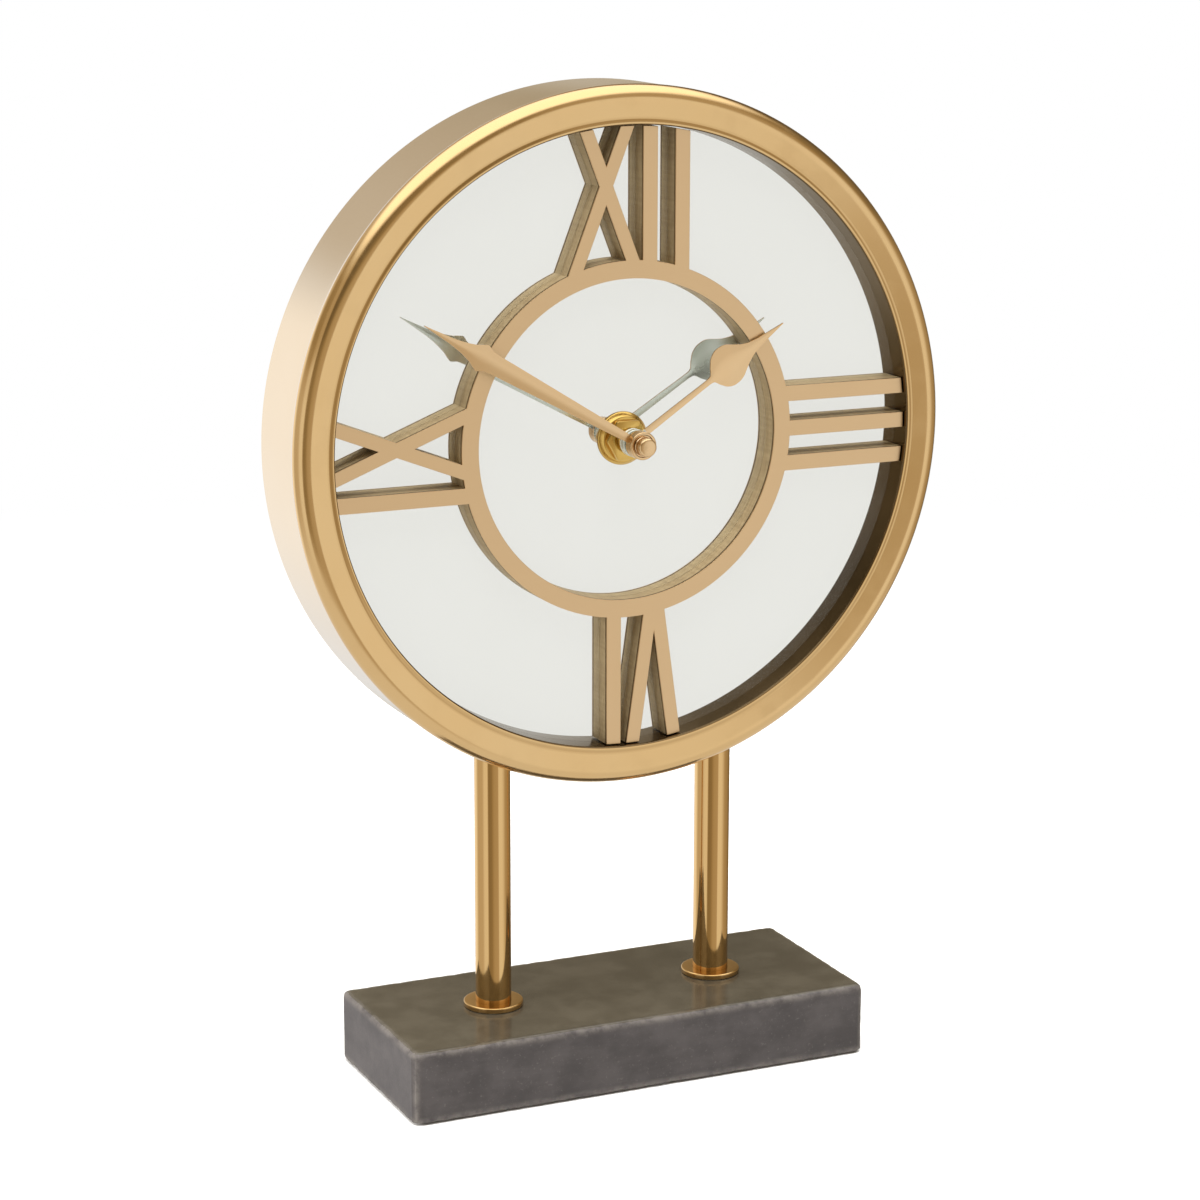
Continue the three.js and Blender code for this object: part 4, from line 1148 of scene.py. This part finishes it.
def middle_of(name):
    """The middle of a node across the dial, at the depth of the mirror's front."""
    low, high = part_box(name)
    return Vector(((low.x + high.x) / 2, DIAL.y, (low.z + high.z) / 2))


def brick(low, high):
    bm = bmesh.new()
    bmesh.ops.create_cube(bm, size=1)
    place = Matrix.Translation((low + high) / 2) @ Matrix.Diagonal((*(high - low), 1))
    bmesh.ops.transform(bm, verts=all_verts(bm), matrix=place)
    return bm


def drilled(bm, name, radius, start, end):
    return combined(bm, rod(middle_of(name), BACKWARD, RIGHT, radius, start, end, 32), "DIFFERENCE")


cover_low, cover_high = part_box("back_cover")
cover_radius = (cover_high.x - cover_low.x) / 2 / MM
cover_front, cover_back = depths("back_cover")
cover = on_dial(
    [(0, cover_front), (cover_radius, cover_front)]
    + arc((cover_radius - EDGE_ROLL, cover_back - EDGE_ROLL), EDGE_ROLL, 0, 90, 6) + [(0, cover_back)], 192,
)
move_low, move_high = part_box("movement_case")
margin = Vector((WINDOW_GAP, 0, WINDOW_GAP)) * MM
window = brick(
    Vector((move_low.x, cover_low.y - MM, move_low.z)) - margin,
    Vector((move_high.x, cover_high.y + MM, move_high.z)) + margin,
)
bevelled(window, edges_along(window, lambda a, b: abs(a.y - b.y) > tiny), WINDOW_ROUND, 8)
cover = combined(cover, window, "DIFFERENCE")
SCREWS = [f"cover_screw_{i}" for i in range(1, 5)]
for screw_name in SCREWS:
    cover = drilled(cover, screw_name, SCREW_HOLE, cover_front - 1, cover_back + 1)


def on_window_edge(a, b):
    """True for an edge on the rear face that runs round the window."""
    return all(abs(v.y - cover_high.y) < tiny and (v - DIAL).length < WINDOW_REACH * MM for v in (a, b))


window_rim = [
    edge for edge in edges_along(cover, on_window_edge) if not edge.is_wire and edge.calc_face_angle(0) > 1
]
bevelled(cover, window_rim, WINDOW_BEVEL, 2)
show("rear_cover_sheet", cover, ["black_sheet"], ["back_cover"], 30)

# %% [markdown]
# Four pan-head screws hold the cover. Each is turned in one outline with its pointed end, and two
# thin bars cut the cross slot; every screw stopped at a different angle when it was driven home.

# %% Screws with a cross slot
SLOT_LENGTH, SLOT_WIDTH, SLOT_DEPTH = 3.4, 0.8, 0.9
for i, screw_name in enumerate(SCREWS):
    centre = middle_of(screw_name)
    start, end = depths(screw_name)
    screw = spun(
        [(0, start), (0.5, start + 0.8), (1.3, start + 2.6), (1.5, start + 3.2), (1.5, end - 1.5),
         (3, end - 1.5), (3, end - 1.0), (2.7, end - 0.55), (2.1, end - 0.22), (1.2, end - 0.04), (0, end)],
        centre, BACKWARD, RIGHT, 48,
    )
    for turn in (0, 90):
        half = Vector((SLOT_LENGTH / 2, SLOT_DEPTH, SLOT_WIDTH / 2)) * MM
        bar = brick(-half, half)
        place = Matrix.Translation(centre + BACKWARD * (end * MM))
        spin = Matrix.Rotation(math.radians(turn + 23 * i + 11), 4, "Y")
        bmesh.ops.transform(bar, verts=all_verts(bar), matrix=place @ spin)
        screw = combined(screw, bar, "DIFFERENCE")
    show(f"pan_head_screw_{i + 1}", screw, ["drawn_steel"], [screw_name], 30)

# %% [markdown]
# The lid of the movement is a moulding. Its edges are rounded, a round panel is sunk round the
# setting knob to leave room for fingers, and two grooves show where the mould stiffens it. The blind
# holes inside carry the ends of the arbors.

# %% Lid of the movement
lid_low, lid_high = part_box("movement_cover")
lid_front, lid_back = depths("movement_cover")
lid = brick(lid_low, lid_high)
bevelled(lid, edges_along(lid, lambda a, b: abs(a.y - b.y) > tiny), 1.0, 3)
bevelled(lid, edges_along(lid, lambda a, b: min(a.y, b.y) > lid_high.y - tiny), 0.45, 2)
lid = drilled(lid, "set_knob", 7.0, lid_back - 0.5, lid_back + 1)
lid = drilled(lid, "set_knob", 1.65, lid_front - 1, lid_back + 1)
for wheel in ("motion_wheel", "third_wheel", "seconds_wheel", "rotor"):
    lid = drilled(lid, wheel, 0.65, lid_front - 1, lid_front + 0.8)
lid = drilled(lid, "mirror_dial", 0.95, lid_front - 1, lid_front + 0.8)
for rise in (4.0, 7.0):
    groove = brick(
        Vector((lid_low.x + 4 * MM, lid_high.y - 0.35 * MM, lid_high.z - (rise + 1.2) * MM)),
        Vector((lid_high.x - 4 * MM, lid_high.y + MM, lid_high.z - rise * MM)),
    )
    lid = combined(lid, groove, "DIFFERENCE")
show("movement_lid_moulding", lid, ["black_moulding"], ["movement_cover"], 30)

# %% [markdown]
# ## Floor, light and camera
#
# Polished metal shows the room rather than itself. The room here is painted in the world shader as
# soft panels round the compass: bright ones to the front right and behind on the left, dimmer ones
# between them, and dim warm ones towards the camera. Only reflections and soft light see those
# panels; the camera sees plain white. Two softboxes, at the left and above, light the stone.

# %% The room
CAMERA_PLACE = Vector((-0.4774, -1.0449, 0.4420))
YAW = math.radians(24.48)
PITCH = math.radians(-13.056)
ROLL = math.radians(0.108)
LENS = 97.23
SENSOR = 36.0

TOWARDS_CAMERA = Vector((-math.sin(YAW), -math.cos(YAW), 0))
SCREEN_RIGHT = Vector((math.cos(YAW), -math.sin(YAW), 0))
PANELS = [
    (-180, 0.5), (-170, 0.8), (-150, 1.0), (-128, 1.1), (-112, 0.85), (-102, 0.6), (-64, 0.62), (-50, 0.85),
    (-30, 0.86), (-22, 0.28), (-2, 0.32), (6, 0.42), (14, 0.48), (39, 0.52), (43, 0.87), (64, 0.87),
    (76, 0.74), (90, 0.52), (100, 0.46), (114, 0.42), (132, 0.3), (150, 0.22), (168, 0.25), (180, 0.5),
]
BRIGHTEST = 2.0
FLOOR_GLOW = 0.78
CORNICE_DIM = 0.42
CEILING_GLOW = 1.7

world = bpy.data.worlds.new("soft_room")
scene.world = world
world.use_nodes = True
Shade.tree = world.node_tree
Shade.tree.nodes.clear()
direction = Shade.node("ShaderNodeTexCoord", output="Generated")
height = split(direction)[2]


def along(vector):
    both = {0: direction, 1: vector}
    return Shade.node("ShaderNodeVectorMath", {"operation": "DOT_PRODUCT"}, both, "Value")


bearing = Shade.maths("ARCTAN2", along(SCREEN_RIGHT), along(TOWARDS_CAMERA)) / math.tau + 0.5
panels = ramp(bearing, [(degrees / 360 + 0.5, value / BRIGHTEST) for degrees, value in PANELS])
walls = Shade.node("ShaderNodeSeparateColor", inputs={0: panels}, output=0) * BRIGHTEST
cornice = between(height, 0.1, 0.3)
overhead = between(height, 0.55, 0.8)
underfoot = between(0 - height, 0.3, 0.6)
sides = walls * (1 - underfoot) + FLOOR_GLOW * underfoot
sides = sides * (1 - CORNICE_DIM * cornice)
room = sides * (1 - overhead) + CEILING_GLOW * overhead
warmth = mixed(between(room, 0.3, 0.86), (1.0, 0.8, 0.5), (1.0, 0.99, 0.975))
seen = Shade.node("ShaderNodeLightPath", output="Is Camera Ray")
warmth = mixed(seen, warmth, (1.0, 1.0, 1.0))
strength = room * (1 - seen) + 1.0 * seen
background = Shade.node("ShaderNodeBackground", inputs={"Color": warmth, "Strength": strength})
world_end = Shade.tree.nodes.new("ShaderNodeOutputWorld")
Shade.tree.links.new(background.socket, world_end.inputs["Surface"])
print(len(PANELS), "stops round the room")

# %% Floor
FLOOR_REACH = 14.0
floor_form = bmesh.new()
bmesh.ops.create_circle(floor_form, cap_ends=True, segments=96, radius=FLOOR_REACH)
floor_mesh = bpy.data.meshes.new("floor")
floor_form.to_mesh(floor_mesh)
floor_form.free()
floor = bpy.data.objects.new("floor", floor_mesh)
scene.collection.objects.link(floor)

floor_paper = bpy.data.materials.new("floor_paper")
floor_paper.use_nodes = True
Shade.tree = floor_paper.node_tree
Shade.tree.nodes.clear()
x, y, _ = split(Shade.node("ShaderNodeTexCoord", output="Object"))
far = between((x * x + y * y) ** 0.5, 0.35, 1.1)
paper = Shade.node("ShaderNodeBsdfDiffuse", inputs={"Color": (0.93, 0.93, 0.93, 1)})
glow = Shade.node("ShaderNodeEmission", inputs={"Color": (1, 1, 1, 1), "Strength": 1.0})
surface = Shade.node("ShaderNodeMixShader", inputs={0: far, 1: paper, 2: glow})
paper_end = Shade.tree.nodes.new("ShaderNodeOutputMaterial")
Shade.tree.links.new(surface.socket, paper_end.inputs["Surface"])
floor.data.materials.append(floor_paper)
floor.visible_glossy = False
floor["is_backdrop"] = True


def softbox(name, place, aim, width, depth, power, colour):
    light = bpy.data.lights.new(name, "AREA")
    light.shape = "RECTANGLE"
    light.size = width
    light.size_y = depth
    light.energy = power
    light.color = colour
    lamp = bpy.data.objects.new(name, light)
    lamp.location = place
    lamp.rotation_euler = (Vector(place) - Vector(aim)).to_track_quat("Z", "Y").to_euler()
    scene.collection.objects.link(lamp)
    return lamp


side_box = softbox("side_box", (-1.3, 0.1, 0.55), (0, 0, 0.1), 0.9, 0.7, 16, (1, 0.985, 0.96))
top_box = softbox("top_box", (-0.1, -0.35, 1.5), (0, 0, 0.2), 1.0, 1.0, 22, (1, 0.99, 0.98))
for lamp in (side_box, top_box):
    lamp.visible_glossy = False
print("floor and", len(bpy.data.lights), "softboxes")

# %% Camera
camera_data = bpy.data.cameras.new("camera")
camera_data.sensor_width = SENSOR
camera_data.lens = LENS
camera_data.clip_start = 0.05
camera_data.clip_end = 50
camera = bpy.data.objects.new("camera", camera_data)
camera.location = CAMERA_PLACE
turned = Matrix.Rotation(-YAW, 3, "Z") @ Matrix.Rotation(math.pi / 2 + PITCH, 3, "X")
camera.rotation_euler = (turned @ Matrix.Rotation(ROLL, 3, "Z")).to_euler()
scene.collection.objects.link(camera)
scene.camera = camera
scene.view_settings.view_transform = "Standard"
print("camera at", [round(v, 3) for v in camera.location])

# %% Measure the visual box
low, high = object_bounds()
print("visual box", [round(v / MM, 2) for v in (*low, *high)])
